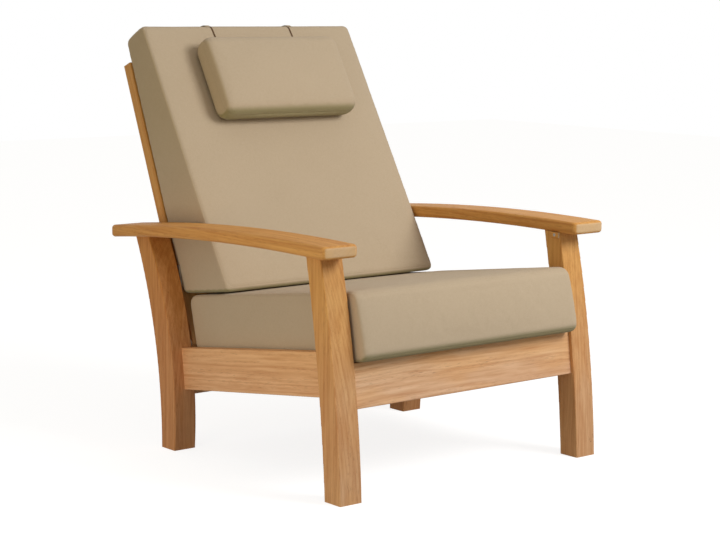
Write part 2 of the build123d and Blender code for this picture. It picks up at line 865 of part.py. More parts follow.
# The back cushion's lower face lies parallel to the seat cushion's top, clear of its crown
cushion_rear = -stile_half - soft_gap
bottom_tilt = radians(back_lean - seat_slope) - seat_top_fall
seat_top_at_hinge = seat_thickness - (hinge_along - seat_top_front) * tan(seat_top_fall)
bottom_rise = (seat_top_at_hinge + seat_crown + soft_gap - hinge_above_deck) * cos(seat_top_fall)


def back_bottom_at(y):
    """Height of the back cushion's lower face at y, in the upright back's own axes."""
    return (bottom_rise + y * sin(bottom_tilt)) / cos(bottom_tilt)


bottom_front = (cushion_rear - back_bottom_thickness, back_bottom_at(cushion_rear - back_bottom_thickness))
back_cushion_top = stile_length + back_top_rise
top_front = (cushion_rear - back_top_thickness, back_cushion_top + back_front_rise)


def make_back_cushion():
    corners = [
        bottom_front,
        (cushion_rear, back_bottom_at(cushion_rear)),
        (cushion_rear, back_cushion_top),
        top_front,
    ]
    bulges = (0, 0, back_top_bulge, back_crown)
    half_width = inner_face - back_side_gap
    return back * cushion(corners, bulges, back_corner, half_width, back_side_round, back_side_draw)


# The pillow lies on the back cushion's front, whose direction and crown it follows
front_up = unit(bottom_front, top_front)
front_out = (-front_up[1], front_up[0])
front_length = hypot(top_front[0] - bottom_front[0], top_front[1] - bottom_front[1])


def on_front(along, out):
    """A point on the back cushion's front: along it from its lower edge, and out from it."""
    return moved(bottom_front, (front_up, along), (front_out, out))


def crown_at(along):
    """How far the back cushion's crown stands out in its middle plane."""
    share = (along - back_corner) / (front_length - 2 * back_corner)
    return back_crown * 4 * share * (1 - share)


pillow_start = front_length - pillow_drop - pillow_length
pillow_seat = crown_at(pillow_start + pillow_corner) + soft_gap


def make_pillow():
    low, high = pillow_start, pillow_start + pillow_length
    corners = [
        on_front(low, pillow_seat + pillow_thickness),
        on_front(low, pillow_seat),
        on_front(high, pillow_seat),
        on_front(high, pillow_seat + pillow_thickness),
    ]
    bulges = (pillow_end_bulge, 0, pillow_end_bulge, pillow_crown)
    shape = (pillow_corner, pillow_half_width, pillow_side_round, pillow_side_draw)
    return back * cushion(corners, bulges, *shape)


def band(points, thickness):
    """Side-view edges of a flat band that lies on the left of the points."""
    outer = []
    for k, point in enumerate(points):
        before = unit(points[k - 1], point) if k else unit(point, points[1])
        after = unit(point, points[k + 1]) if k < len(points) - 1 else before
        normal = (-before[1] - after[1], before[0] + after[0])
        size = hypot(*normal)
        reach = thickness * 2 / size
        outer.append(moved(point, ((normal[0] / size, normal[1] / size), reach)))
    return [Polyline(*points, *reversed(outer), points[0])]


def make_strap():
    """A strap from behind the pillow, over the cushion's top and down behind the top rail."""
    start = pillow_start + pillow_length - pillow_corner - strap_under_pillow
    lift = crown_at(start) + soft_gap
    top_out = back_top_bulge + soft_gap
    rail_rear = back_rail_thickness / 2 + soft_gap
    behind = cushion_rear + soft_gap
    bend = back_corner * strap_bend_share
    front = on_front(front_length + top_out, lift)
    rear = (behind, back_cushion_top + top_out)
    over = unit(front, rear)
    points = [
        on_front(start, lift),
        moved(front, (front_up, -bend)),
        moved(front, (over, bend)),
        moved(rear, (over, -bend)),
        (behind, rear[1] - bend),
        (behind, stile_length + soft_gap),
        (rail_rear, stile_length + soft_gap),
        (rail_rear, stile_length - strap_tail),
    ]
    x = (strap_place - strap_width / 2, strap_place + strap_width / 2)
    return back * side_slab(band(points, strap_thickness), x)


def make_stud():
    """The stud that holds a strap's end on the top rail."""
    y = back_rail_thickness / 2 + strap_thickness + 2 * soft_gap
    place = Pos(strap_place, y, stile_length - strap_tail + stud_radius) * Rot(-90, 0, 0)
    stud = Cylinder(stud_radius, stud_height, align=(Align.CENTER, Align.CENTER, Align.MIN))
    return back * place * stud


def make_nodes():
    """Every sub-part by name, in the modelling position."""
    left = {
        "front_leg": make_front_leg(),
        "rear_leg": make_rear_leg(),
        "arm": make_arm(),
        "side_rail": make_side_rail(),
        "seat_cleat": make_cleat(),
        "quadrant": make_quadrant(),
        "back_stile": make_stile(),
        "thumb_nut": make_thumb_nut(),
    }
    nodes = {}
    for name, shape in left.items():
        nodes[name + "_left"] = shape
        nodes[name + "_right"] = mirror(shape, about=Plane.YZ)
    nodes["front_rail"] = make_end_rail(0, front_rail_depth)
    nodes["rear_rail"] = make_end_rail(rear_rail_front, rear_rail_depth)
    nodes["seat_bearer"] = make_bearer()
    nodes["seat_slats"] = group(make_slats())
    nodes["deck_screws"] = group([screw for start in slat_starts for screw in slat_screws(start)])
    nodes["seat_cushion"] = make_seat_cushion()
    nodes["back_top_rail"] = make_back_rail("top")
    nodes["back_bottom_rail"] = make_back_rail("bottom")
    nodes["back_slats"] = group(back_slat_blocks())
    nodes["back_cushion"] = make_back_cushion()
    nodes["head_pillow"] = make_pillow()
    pairs = {
        "cleat_screws": cleat_screws(),
        "tenon_pegs": tenon_pegs(),
        "back_pegs": back_pegs(),
        "arm_blocks": [make_arm_block()],
        "arm_block_screws": [arm_block_screw()],
        "hinge_inserts": [make_insert()],
        "hinge_bolts": [hinge_bolt_solid()],
        "hinge_spacers": [make_hinge_spacer()],
        "hinge_bushes": [make_bush()],
        "quadrant_spacers": make_quadrant_spacers(),
        "quadrant_screws": quadrant_screws(),
        "clamp_bolts": [make_clamp_bolt()],
        "clamp_washers": [make_washer()],
        "friction_discs": [make_disc()],
        "headrest_straps": [make_strap()],
        "strap_studs": [make_stud()],
    }
    for name, shapes in pairs.items():
        nodes[name] = group(shapes + [mirror(shape, about=Plane.YZ) for shape in shapes])
    return nodes


def main():
    os.makedirs("parts", exist_ok=True)
    nodes = make_nodes()
    bounds = [shape.bounding_box() for shape in nodes.values()]
    front = min(box.min.Y for box in bounds)
    rear = max(box.max.Y for box in bounds)
    shift = Pos(0, -(front + rear) / 2, 0)
    for name, shape in nodes.items():
        export_step(shift * shape, f"parts/{name}.step")
    middle = -(front + rear) / 2
    print(f"moved by {middle:.3f} in y")
    print(f"hinge axis at y {hinge_y + middle:.3f} z {hinge_z:.3f}")
    y, z = about_hinge(slot_radius, back_lean)
    print(f"clamp axis at y {hinge_y + middle + y:.3f} z {hinge_z + z:.3f}")


main()
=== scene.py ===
"""Dresses a reclining armchair: oiled teak, loose box cushions in tan cloth and a strapped head pillow.

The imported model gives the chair's frame at its real size, in metres. The cushions, straps and screws are
made here in the space that their solids hold, and every other piece keeps its shape and gets its finish. The
sitter faces -Y and z = 0 is the floor.
"""

import json
import logging
import math
from collections.abc import Callable, Iterable
from dataclasses import dataclass, field, replace
from enum import Enum

import bmesh
import bpy
import numpy as np
from mathutils import Matrix, Vector, noise
from mathutils.bvhtree import BVHTree


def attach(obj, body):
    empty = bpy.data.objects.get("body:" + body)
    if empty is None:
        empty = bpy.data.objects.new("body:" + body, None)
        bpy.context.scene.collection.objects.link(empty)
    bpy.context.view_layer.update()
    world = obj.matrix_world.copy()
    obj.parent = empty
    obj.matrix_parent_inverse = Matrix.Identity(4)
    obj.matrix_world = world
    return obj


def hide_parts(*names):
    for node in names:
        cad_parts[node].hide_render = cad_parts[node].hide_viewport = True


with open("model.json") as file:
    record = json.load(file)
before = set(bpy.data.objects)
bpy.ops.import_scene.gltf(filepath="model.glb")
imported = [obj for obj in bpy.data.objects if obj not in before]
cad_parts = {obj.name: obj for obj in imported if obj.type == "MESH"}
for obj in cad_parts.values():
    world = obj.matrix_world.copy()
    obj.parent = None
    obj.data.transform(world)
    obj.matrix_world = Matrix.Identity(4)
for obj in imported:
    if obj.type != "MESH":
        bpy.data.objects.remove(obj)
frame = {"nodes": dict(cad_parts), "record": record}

log = logging.getLogger("armchair")

Triple = tuple[float, float, float]
Value = float | Triple | bpy.types.NodeSocket
WHITE: Triple = (1.0, 1.0, 1.0)
SIMULATION_STEPS = 20


def srgb(red: int, green: int, blue: int) -> Triple:
    """Turns a display colour of 0 to 255 into the linear colour that a shader takes."""
    shares = (red / 255, green / 255, blue / 255)
    return tuple(c / 12.92 if c < 0.04045 else ((c + 0.055) / 1.055) ** 2.4 for c in shares)


class Rest(Enum):
    """How a cushion's face is held."""

    FREE = "free"
    CARRIED = "carried"


@dataclass(frozen=True)
class Axes:
    """The axes of a part of the chair that is tipped: across the chair, along the part and square to it.

    Args:
        origin: Where the axes start, in metres.
        along: The direction that the part's length runs in.
        square: The direction square to the part's face.
    """

    origin: Vector
    along: Vector
    square: Vector

    def place(self, x: float, along: float, square: float) -> Vector:
        """A point by its distances on the three axes."""
        return self.origin + Vector((x, 0, 0)) + self.along * along + self.square * square

    def local(self, point: Vector) -> Triple:
        """The distances of a point on the three axes."""
        offset = point - self.origin
        return offset.x, offset.dot(self.along), offset.dot(self.square)


def tipped(degrees: float) -> Vector:
    """The direction that lies in the side view at an angle below the +Y axis."""
    return Vector((0, math.cos(math.radians(degrees)), -math.sin(math.radians(degrees))))


SEAT_SLOPE = 7.58
BACK_LEAN = 22.4
X_AXIS = Vector((1, 0, 0))
SEAT = Axes(Vector((0, -0.437073, 0.299)), tipped(SEAT_SLOPE), tipped(SEAT_SLOPE - 90))
BACK = Axes(Vector((0, 0.190702, 0.249961)), tipped(BACK_LEAN - 90), tipped(BACK_LEAN))


@dataclass(frozen=True)
class Pattern:
    """Smooth noise that is drawn out along the grain of a board.

    Args:
        along: How often it changes in a metre along the grain.
        across: How often it changes in a metre across the grain.
        detail: How many finer layers it has.
        roughness: How strong each finer layer is.
    """

    along: float
    across: float
    detail: float = 2.0
    roughness: float = 0.5


class Graph:
    """Adds nodes to a node tree and links them, with plain values or sockets as inputs."""

    def __init__(self, tree: bpy.types.NodeTree) -> None:
        """Takes the tree that the nodes go into."""
        self.tree = tree

    def add(
        self, kind: str, inputs: dict[str | int, Value] | None = None, **settings: object
    ) -> bpy.types.Node:
        """Adds a node.

        Args:
            kind: The node's type name.
            inputs: Values or sockets by the input's name or number.
            settings: The node's own properties.

        Returns:
            The new node.
        """
        node = self.tree.nodes.new(kind)
        for name, value in settings.items():
            setattr(node, name, value)
        for name, value in (inputs or {}).items():
            self.feed(node.inputs[name], value)
        return node

    def feed(self, socket: bpy.types.NodeSocket, value: Value) -> None:
        """Links a socket to another, or sets its plain value.

        Args:
            socket: The input.
            value: The output that it is linked to, or its plain value.
        """
        if isinstance(value, bpy.types.NodeSocket):
            self.tree.links.new(value, socket)
        elif socket.type == "RGBA":
            socket.default_value = (*value, 1.0)
        else:
            socket.default_value = value

    def math(self, operation: str, *values: Value) -> bpy.types.NodeSocket:
        """The result of a Math node on one to three values."""
        return self.add("ShaderNodeMath", dict(enumerate(values)), operation=operation).outputs[0]

    def times(self, first: Value, second: Value) -> bpy.types.NodeSocket:
        """The product of two numbers."""
        return self.math("MULTIPLY", first, second)

    def without(self, value: Value) -> bpy.types.NodeSocket:
        """What a share leaves of 1."""
        return self.math("SUBTRACT", 1.0, value)

    def weigh(self, *parts: tuple[Value, float], base: Value | None = None) -> bpy.types.NodeSocket:
        """The sum of several values, each times its weight.

        Args:
            parts: Each value with its weight.
            base: What the sum starts from, where it isn't zero.

        Returns:
            The sum.
        """
        total = base
        for value, weight in parts:
            part = self.times(value, weight)
            total = part if total is None else self.math("ADD", total, part)
        return total

    def dot(self, vector: Value, other: Value) -> bpy.types.NodeSocket:
        """The dot product of two vectors."""
        node = self.add("ShaderNodeVectorMath", {0: vector, 1: other}, operation="DOT_PRODUCT")
        return node.outputs["Value"]

    def vector(self, operation: str, *values: Value) -> bpy.types.NodeSocket:
        """The result of a Vector Math node."""
        node = self.add("ShaderNodeVectorMath", dict(enumerate(values)), operation=operation)
        return node.outputs[0]

    def join(self, x: Value, y: Value, z: Value) -> bpy.types.NodeSocket:
        """A vector made of three numbers."""
        return self.add("ShaderNodeCombineXYZ", {0: x, 1: y, 2: z}).outputs[0]

    def noise(
        self, place: Value, scale: float, detail: float = 2.0, roughness: float = 0.5
    ) -> bpy.types.NodeSocket:
        """Smooth noise of 0 to 1 at a place in space.

        Args:
            place: The place.
            scale: How often the noise changes in a metre.
            detail: How many finer layers it has.
            roughness: How strong each finer layer is.

        Returns:
            The noise.
        """
        inputs = {"Vector": place, "Scale": scale, "Detail": detail, "Roughness": roughness}
        return self.add("ShaderNodeTexNoise", inputs).outputs[0]

    def grain(self, place: Value, pattern: Pattern) -> bpy.types.NodeSocket:
        """A pattern of 0 to 1 at a place on a board whose grain runs along x."""
        drawn_out = self.vector("MULTIPLY", place, (pattern.along, pattern.across, pattern.across))
        return self.noise(drawn_out, 1.0, pattern.detail, pattern.roughness)

    def between(self, value: Value, low: float, high: float) -> bpy.types.NodeSocket:
        """How far a value has got from low to high, eased and kept within 0 to 1."""
        inputs = {"Value": value, "From Min": low, "From Max": high}
        return self.add("ShaderNodeMapRange", inputs, interpolation_type="SMOOTHSTEP").outputs[0]

    def blend(self, share: Value, first: Value, second: Value) -> bpy.types.NodeSocket:
        """Two colours blended by a share of the second."""
        return self.add("ShaderNodeMix", {0: share, 6: first, 7: second}, data_type="RGBA").outputs[2]

    def tint(self, colour: Value, share: Value, tone: Triple) -> bpy.types.NodeSocket:
        """A colour multiplied by a share of a tone."""
        return self.vector("MULTIPLY", colour, self.blend(share, WHITE, tone))

    def seen(self) -> bpy.types.NodeSocket:
        """1 for what the camera, reflections and clear things show, and 0 for the light that falls."""
        rays = self.add("ShaderNodeLightPath").outputs
        seen = self.math("MAXIMUM", rays["Is Camera Ray"], rays["Is Glossy Ray"])
        return self.math("MAXIMUM", seen, rays["Is Transmission Ray"])

    def mix(self, share: Value, first: Value, second: Value) -> bpy.types.NodeSocket:
        """Two numbers blended by a share of the second."""
        return self.add("ShaderNodeMix", {0: share, 2: first, 3: second}, data_type="FLOAT").outputs[0]


class Group(Graph):
    """A node group with named inputs and outputs, made once and used by several materials."""

    def __init__(self, name: str, inputs: dict[str, tuple[str, object]], outputs: dict[str, str]) -> None:
        """Makes the group's sockets.

        Args:
            name: The group's name.
            inputs: Socket type and default value by input name.
            outputs: Socket type by output name.
        """
        super().__init__(bpy.data.node_groups.new(name, "ShaderNodeTree"))
        for title, (kind, default) in inputs.items():
            socket = self.tree.interface.new_socket(title, in_out="INPUT", socket_type=kind)
            socket.default_value = default
        for title, kind in outputs.items():
            self.tree.interface.new_socket(title, in_out="OUTPUT", socket_type=kind)
        self.given = self.add("NodeGroupInput").outputs
        self.result = self.add("NodeGroupOutput").inputs

    def give(self, **results: Value) -> None:
        """Links the group's outputs."""
        for title, value in results.items():
            self.feed(self.result[title], value)


class Material(Graph):
    """A material with one Principled shader, whose patterns read Object coordinates."""

    def __init__(self, name: str, **fixed: Value) -> None:
        """Makes the material.

        Args:
            name: The material's name.
            fixed: Values that are the same all over, by the shader's input name with _ for a space.
        """
        self.material = bpy.data.materials.new(name)
        self.material.use_nodes = True
        super().__init__(self.material.node_tree)
        self.shader = self.tree.nodes["Principled BSDF"]
        self.coordinates = self.add("ShaderNodeTexCoord").outputs
        for title, value in fixed.items():
            self.feed(self.shader.inputs[title.replace("_", " ")], value)

    def use(self, group: Group, inputs: dict[str, Value]) -> bpy.types.bpy_prop_collection:
        """Adds a node group's node.

        Args:
            group: The node group.
            inputs: Values or sockets by the input's name.

        Returns:
            The node's outputs.
        """
        node = self.add("ShaderNodeGroup", node_tree=group.tree)
        for name, value in inputs.items():
            self.feed(node.inputs[name], value)
        return node.outputs

    def attribute(self, name: str) -> bpy.types.NodeSocket:
        """A number that the mesh holds at each of its points."""
        return self.add("ShaderNodeAttribute", attribute_name=name).outputs["Fac"]

    def finish(self, colour: Value, roughness: Value, height: Value, depth: float) -> bpy.types.Material:
        """Links what varies over the surface to the shader.

        Args:
            colour: The base colour.
            roughness: The roughness.
            height: The relief of the surface, from 0 to 1.
            depth: What a height of 1 is, in metres.

        Returns:
            The finished material.
        """
        self.feed(self.shader.inputs["Base Color"], colour)
        self.feed(self.shader.inputs["Roughness"], roughness)
        bump = self.add("ShaderNodeBump", {"Height": height, "Distance": depth, "Strength": 1.0})
        self.feed(self.shader.inputs["Normal"], bump.outputs[0])
        return self.material


@dataclass(frozen=True)
class TeakFinish:
    """Sanded and oiled teak: rings and fibres, short dark pores and a few hairline checks.

    Args:
        pale: The early wood.
        deep: The late wood.
        amber: Broad warm stains.
        pore: Pores and checks.
        end: End grain.
        low: The paler, bluer tone near the floor, which paints the light that the floor throws up.
        high: The golden tone higher up, away from that painted floor light.
        levels: The heights between which the tone goes from low to high.
        floor_reflection_tint: The painted reflection of the white floor on the low faces at the front.
        ring_width: From one ring to the next.
        specular: The shader's specular level.
        relief: How deep the grain's relief is.
        sway: How the streaks sway to the side.
        wander: How the rings' middle wanders.
        streak: Streaks of late wood.
        fibre: Single fibres.
        dash: The short dashes of the pores.
        crowd: Where pores crowd together.
        broad: Broad darker bands.
        split: The lines that checks follow.
        where: Where there are checks.
        reflection_patch: Patches where that painted reflection is stronger.
    """

    pale: Triple = srgb(226, 178, 128)
    deep: Triple = srgb(180, 118, 66)
    amber: Triple = srgb(206, 136, 74)
    pore: Triple = srgb(112, 66, 34)
    end: Triple = srgb(216, 186, 150)
    # Painted light: low and high shade the wood by height, as if the floor lit it from below
    low: Triple = (1.0, 1.0, 0.94)
    high: Triple = (1.0, 0.95, 0.56)
    levels: tuple[float, float] = (0.15, 0.50)
    # Painted reflection of the floor: a pale bluish tint
    floor_reflection_tint: Triple = (0.98, 1.06, 1.30)
    ring_width: float = 0.0026
    specular: float = 0.32
    relief: float = 0.00022
    sway: Pattern = Pattern(9.0, 12.0)
    wander: Pattern = Pattern(1.6, 9.0)
    streak: Pattern = Pattern(7.0, 125.0, 5.0, 0.60)
    fibre: Pattern = Pattern(22.0, 1300.0)
    dash: Pattern = Pattern(48.0, 900.0, 1.0)
    crowd: Pattern = Pattern(3.0, 60.0)
    broad: Pattern = Pattern(1.4, 14.0)
    split: Pattern = Pattern(2.4, 75.0, 2.0, 0.4)
    where: Pattern = Pattern(4.5, 16.0, 1.0)
    reflection_patch: Pattern = Pattern(5.0, 16.0)

    def make_group(self) -> Group:
        """Builds the wood as a solid: everything is laid out along the board's own grain."""
        vector, number, colour = "NodeSocketVector", "NodeSocketFloat", "NodeSocketColor"
        g = Group(
            "teak wood",
            {
                "Along": (vector, (0, 0, 1)),
                "Across": (vector, (1, 0, 0)),
                "Stack": (vector, (0, 0, 0)),
                "Batch": (number, 0.0),
                "Tone": (colour, (1, 1, 1, 1)),
            },
            {"Colour": colour, "Roughness": number, "Height": number},
        )
        coordinates = g.add("ShaderNodeTexCoord").outputs
        place, normal = coordinates["Object"], coordinates["Normal"]
        along, across = g.given["Along"], g.given["Across"]
        third = g.vector("CROSS_PRODUCT", along, across)
        own_place = g.join(g.dot(place, along), g.dot(place, across), g.dot(place, third))

        # One board of a set differs from the next in its place in the log and its tone
        board = g.math("FLOOR", g.math("ADD", g.dot(place, g.given["Stack"]), 0.5))
        seed = g.math("ADD", board, g.given["Batch"])
        chance = g.add("ShaderNodeTexWhiteNoise", {"W": seed}, noise_dimensions="1D").outputs
        shift = g.vector("MULTIPLY", chance["Color"], (3.0, 3.0, 3.0))
        pick = g.add("ShaderNodeSeparateXYZ", {0: chance["Color"]}).outputs
        in_log = g.vector("ADD", own_place, shift)

        ring, late = self.rings(g, own_place, in_log, pick)
        ripple = g.times(g.grain(in_log, self.sway), 0.010)
        waved = g.vector("ADD", in_log, g.join(0.0, ripple, ripple))
        streak = g.grain(waved, self.streak)
        fibre, broad = g.grain(in_log, self.fibre), g.grain(in_log, self.broad)
        crowded = g.between(g.grain(in_log, self.crowd), 0.38, 0.62)
        pores = g.times(g.between(g.grain(in_log, self.dash), 0.60, 0.72), crowded)
        off_split = g.math("ABSOLUTE", g.math("SUBTRACT", g.grain(in_log, self.split), 0.5))
        on_split = g.without(g.between(off_split, 0.0, 0.006))
        check = g.times(on_split, g.between(g.grain(in_log, self.where), 0.66, 0.72))

        streaks = g.math("ADD", streak, g.between(streak, 0.28, 0.72))
        figure = g.weigh((ring, 0.18), (streaks, 0.22), (late, 0.03), (fibre, 0.10), (broad, 0.20))
        wood = g.blend(g.between(figure, 0.05, 1.0), self.pale, self.deep)
        wood = g.blend(g.times(g.between(broad, 0.35, 0.7), 0.16), wood, self.amber)
        end_grain = g.between(g.math("ABSOLUTE", g.dot(normal, along)), 0.80, 0.97)
        wood = g.blend(g.times(end_grain, 0.75), wood, self.end)
        wood = g.blend(g.times(pores, 0.42), wood, self.pore)
        wood = g.blend(g.times(check, 0.62), wood, self.pore)
        lighten = g.weigh((pick[2], 0.10), base=0.95)
        wood = g.vector("MULTIPLY", wood, g.join(lighten, lighten, lighten))
        wood = g.vector("MULTIPLY", wood, g.given["Tone"])

        # Painted light: the wood is paler and bluer near the floor, as if lit from it, and golden higher up
        level = g.times(g.between(g.dot(place, (0, 0, 1)), *self.levels), g.mix(end_grain, 1.0, 0.35))
        # Painted reflection: the low faces at the front take a pale bluish tint of the floor, stronger in
        # patches
        ahead = g.between(g.dot(normal, (0, -1, 0)), 0.60, 0.92)
        reflection_patch = g.between(g.grain(in_log, self.reflection_patch), 0.30, 0.70)
        painted_reflection = g.times(g.times(ahead, g.mix(level, 1.0, 0.35)), g.mix(reflection_patch, 0.25, 1.45))
        wood = g.vector("MULTIPLY", wood, g.blend(level, self.low, self.high))
        wood = g.tint(wood, painted_reflection, self.floor_reflection_tint)
        height = g.weigh((fibre, 0.30), (streak, 0.30), (pores, -0.55), (check, -0.9))
        g.give(Colour=wood, Roughness=g.weigh((streak, 0.16), (pores, 0.12), base=0.50), Height=height)
        return g

    def rings(
        self, g: Group, own_place: Value, in_log: Value, pick: bpy.types.bpy_prop_collection
    ) -> tuple[bpy.types.NodeSocket, bpy.types.NodeSocket]:
        """The rings of a board, round a middle that lies outside it.

        Args:
            g: The wood's node group.
            own_place: The place on the board's own axes.
            in_log: The same place in the log.
            pick: Three numbers of chance for this board.

        Returns:
            How deep the ring's colour is, and how late in the ring the wood is.
        """
        own = g.add("ShaderNodeSeparateXYZ", {0: own_place}).outputs
        bend = g.times(g.math("SUBTRACT", g.grain(in_log, self.wander), 0.5), 0.030)
        pith_v = g.weigh((pick[0], 0.25), base=0.05)
        pith_w = g.times(g.math("SUBTRACT", pick[1], 0.5), 0.30)
        ring_v = g.math("ADD", g.math("ADD", own[1], pith_v), bend)
        ring_w = g.math("ADD", g.math("ADD", own[2], pith_w), bend)
        radius = g.math("SQRT", g.math("ADD", g.math("POWER", ring_v, 2.0), g.math("POWER", ring_w, 2.0)))
        count = g.times(radius, 1 / self.ring_width)
        inputs = {"W": count, "Scale": 0.55, "Detail": 3.0}
        uneven = g.add("ShaderNodeTexNoise", inputs, noise_dimensions="1D").outputs[0]
        late = g.between(g.math("FRACT", g.weigh((uneven, 2.0), base=count)), 0.55, 1.0)
        return g.between(uneven, 0.32, 0.70), late

    def material(self, group: Group, name: str, board: "Board", batch: float) -> bpy.types.Material:
        """Makes the material of a board or a set of boards.

        Args:
            group: The wood's node group.
            name: The material's name.
            board: How the grain runs, and the tone.
            batch: A number that sets this piece's place in the log.

        Returns:
            The material.
        """
        g = Material(name, Specular_IOR_Level=self.specular)
        titles = ("Along", "Across", "Stack", "Tone")
        inputs = {title: tuple(getattr(board, title.lower())) for title in titles}
        out = g.use(group, {**inputs, "Batch": batch})
        return g.finish(out["Colour"], out["Roughness"], out["Height"], self.relief)


@dataclass(frozen=True)
class Board:
    """How the grain of a wooden piece runs.

    Args:
        along: The direction of the grain.
        across: A direction square to the grain, towards the rings' middle.
        stack: For a set of boards, the direction they are laid out in, divided by their pitch.
        tone: What the wood's colour is multiplied by.
    """

    along: Vector
    across: Vector = field(default_factory=X_AXIS.copy)
    stack: Vector = field(default_factory=Vector)
    tone: Triple = WHITE


@dataclass(frozen=True)
class ClothFinish:
    """Plain woven outdoor cloth, with slubs in its yarns.

    Args:
        light: The paler yarns.
        dark: The darker yarns.
        stitch: The sewing thread.
        shadow: The line of a seam.
        under: The painted shade on what looks down, darker and more olive.
        side: The painted shade on the sides, high up.
        shaded_side_levels: The heights between which the sides take that painted shade.
        pitch: From one yarn to the next.
        seam_width: The width of a seam.
        seam_reach: How far its groove reaches.
        stitch_place: From the seam to its row of stitches.
        stitch_pitch: From one stitch to the next.
        relief: How deep the cloth's relief is.
    """

    light: Triple = srgb(197, 177, 149)
    dark: Triple = srgb(178, 156, 127)
    stitch: Triple = srgb(170, 148, 119)
    shadow: Triple = srgb(120, 100, 76)
    under: Triple = (0.58, 0.63, 0.46)
    side: Triple = (0.93, 0.90, 0.78)
    shaded_side_levels: tuple[float, float] = (0.45, 0.85)
    pitch: float = 0.0011
    seam_width: float = 0.0011
    seam_reach: float = 0.00242
    stitch_place: float = 0.0042
    stitch_pitch: float = 0.0042
    relief: float = 0.0013

    def weave_group(self) -> Group:
        """One plane of the weave: its relief and the tone of its yarns, from two distances on the plane."""
        number = "NodeSocketFloat"
        inputs = {"A": (number, 0.0), "B": (number, 0.0)}
        g = Group("plain weave", inputs, {"Height": number, "Yarn": number})
        first, second = g.given["A"], g.given["B"]
        turns = math.pi / self.pitch
        a, b = g.math("SINE", g.times(first, turns)), g.math("SINE", g.times(second, turns))
        over = g.between(g.times(a, b), -0.2, 0.2)
        height = g.mix(over, g.math("ABSOLUTE", b), g.math("ABSOLUTE", a))
        warp = g.math("FLOOR", g.times(first, 1 / self.pitch))
        weft = g.math("FLOOR", g.times(second, 1 / self.pitch))
        # Each yarn has its own thick and thin places
        warp_place = g.join(g.times(warp, 0.71), g.times(second, 90.0), 3.0)
        weft_place = g.join(g.times(first, 90.0), g.times(weft, 0.63), 8.0)
        yarn = g.mix(over, g.noise(weft_place, 1.0, 1.0), g.noise(warp_place, 1.0, 1.0))
        g.give(Height=height, Yarn=yarn)
        return g

    def material(self, weave: Group, name: str, axes: Axes) -> bpy.types.Material:
        """Makes the cloth of one cushion, with the weave square to the cushion's own axes.

        Args:
            weave: The node group of one plane of the weave.
            name: The material's name.
            axes: The cushion's axes.

        Returns:
            The material.
        """
        g = Material(name, Specular_IOR_Level=0.18, Sheen_Weight=0.10, Sheen_Roughness=0.6)
        place, normal = g.coordinates["Object"], g.coordinates["Normal"]
        own_axes = [tuple(X_AXIS), tuple(axes.along), tuple(axes.square)]
        places = [g.dot(place, axis) for axis in own_axes]
        facing = [g.math("POWER", g.math("ABSOLUTE", g.dot(normal, axis)), 10.0) for axis in own_axes]
        total = g.math("ADD", g.math("ADD", facing[0], facing[1]), facing[2])
        planes = []
        for k in range(3):
            out = g.use(weave, {"A": places[(k + 1) % 3], "B": places[(k + 2) % 3]})
            share = g.math("DIVIDE", facing[k], total)
            planes.append((out, share))
        height = g.weigh(*((out["Height"], share) for out, share in planes))
        yarn = g.weigh(*((out["Yarn"], share) for out, share in planes))
        cloudy, fleck = g.noise(place, 7.0, 3.0, 0.55), g.noise(place, 160.0, 3.0, 0.6)
        shade = g.weigh((yarn, 0.34), (height, -0.28), (cloudy, 0.16), (fleck, 0.20))
        colour = g.blend(g.between(shade, 0.02, 0.62), self.light, self.dark)
        # Painted shade: what looks down is darker and more olive
        lower = g.between(g.dot(normal, (0, 0, -1)), -0.04, 0.50)
        # Painted shade: the sides high up are darker and yellower too
        side_shade = g.between(g.math("ABSOLUTE", g.dot(normal, (1, 0, 0))), 0.50, 0.90)
        side_shade = g.times(side_shade, g.between(g.dot(place, (0, 0, 1)), *self.shaded_side_levels))
        colour = g.tint(g.tint(colour, lower, self.under), side_shade, self.side)
        # The mesh holds each point's distance from the seam, which has a dark groove and a row of stitches
        away = g.math("ABSOLUTE", g.attribute("seam"))
        groove = g.without(g.between(away, 0.0002, self.seam_reach))
        line = g.without(g.between(away, 0.0, self.seam_width * 0.6))
        off_row = g.math("ABSOLUTE", g.math("SUBTRACT", away, self.stitch_place))
        pulse = g.math("SINE", g.times(g.attribute("run"), 2 * math.pi / self.stitch_pitch))
        thread = g.times(g.without(g.between(off_row, 0.0002, 0.0005)), g.between(pulse, -0.3, 0.1))
        colour = g.blend(g.times(line, 0.18), colour, self.shadow)
        colour = g.blend(g.times(thread, 0.4), colour, self.stitch)
        relief = g.weigh((height, 0.13), (fleck, 0.06), (groove, -0.35), (thread, 0.18))
        return g.finish(colour, 0.88, relief, self.relief)


@dataclass(frozen=True)
class MetalFinish:
    """Plated or machined metal, with fine turning marks and a few duller patches.

    Args:
        title: The material's name.
        colour: The bright metal.
        worn: Its duller patches.
        roughness: The smoothest it gets.
        relief: How deep the turning marks are.
    """

    title: str
    colour: Triple
    worn: Triple
    roughness: float
    relief: float = 0.00004

    def material(self) -> bpy.types.Material:
        """Makes the metal's material."""
        g = Material(self.title, Metallic=1.0)
        place = g.coordinates["Object"]
        marks = g.grain(place, Pattern(2600.0, 500.0, 2.0, 0.6))
        patches = g.noise(place, 90.0, 3.0, 0.6)
        colour = g.blend(g.between(patches, 0.42, 0.72), self.colour, self.worn)
        rough = g.weigh((patches, 0.22), (marks, 0.08), base=self.roughness)
        return g.finish(colour, rough, marks, self.relief)


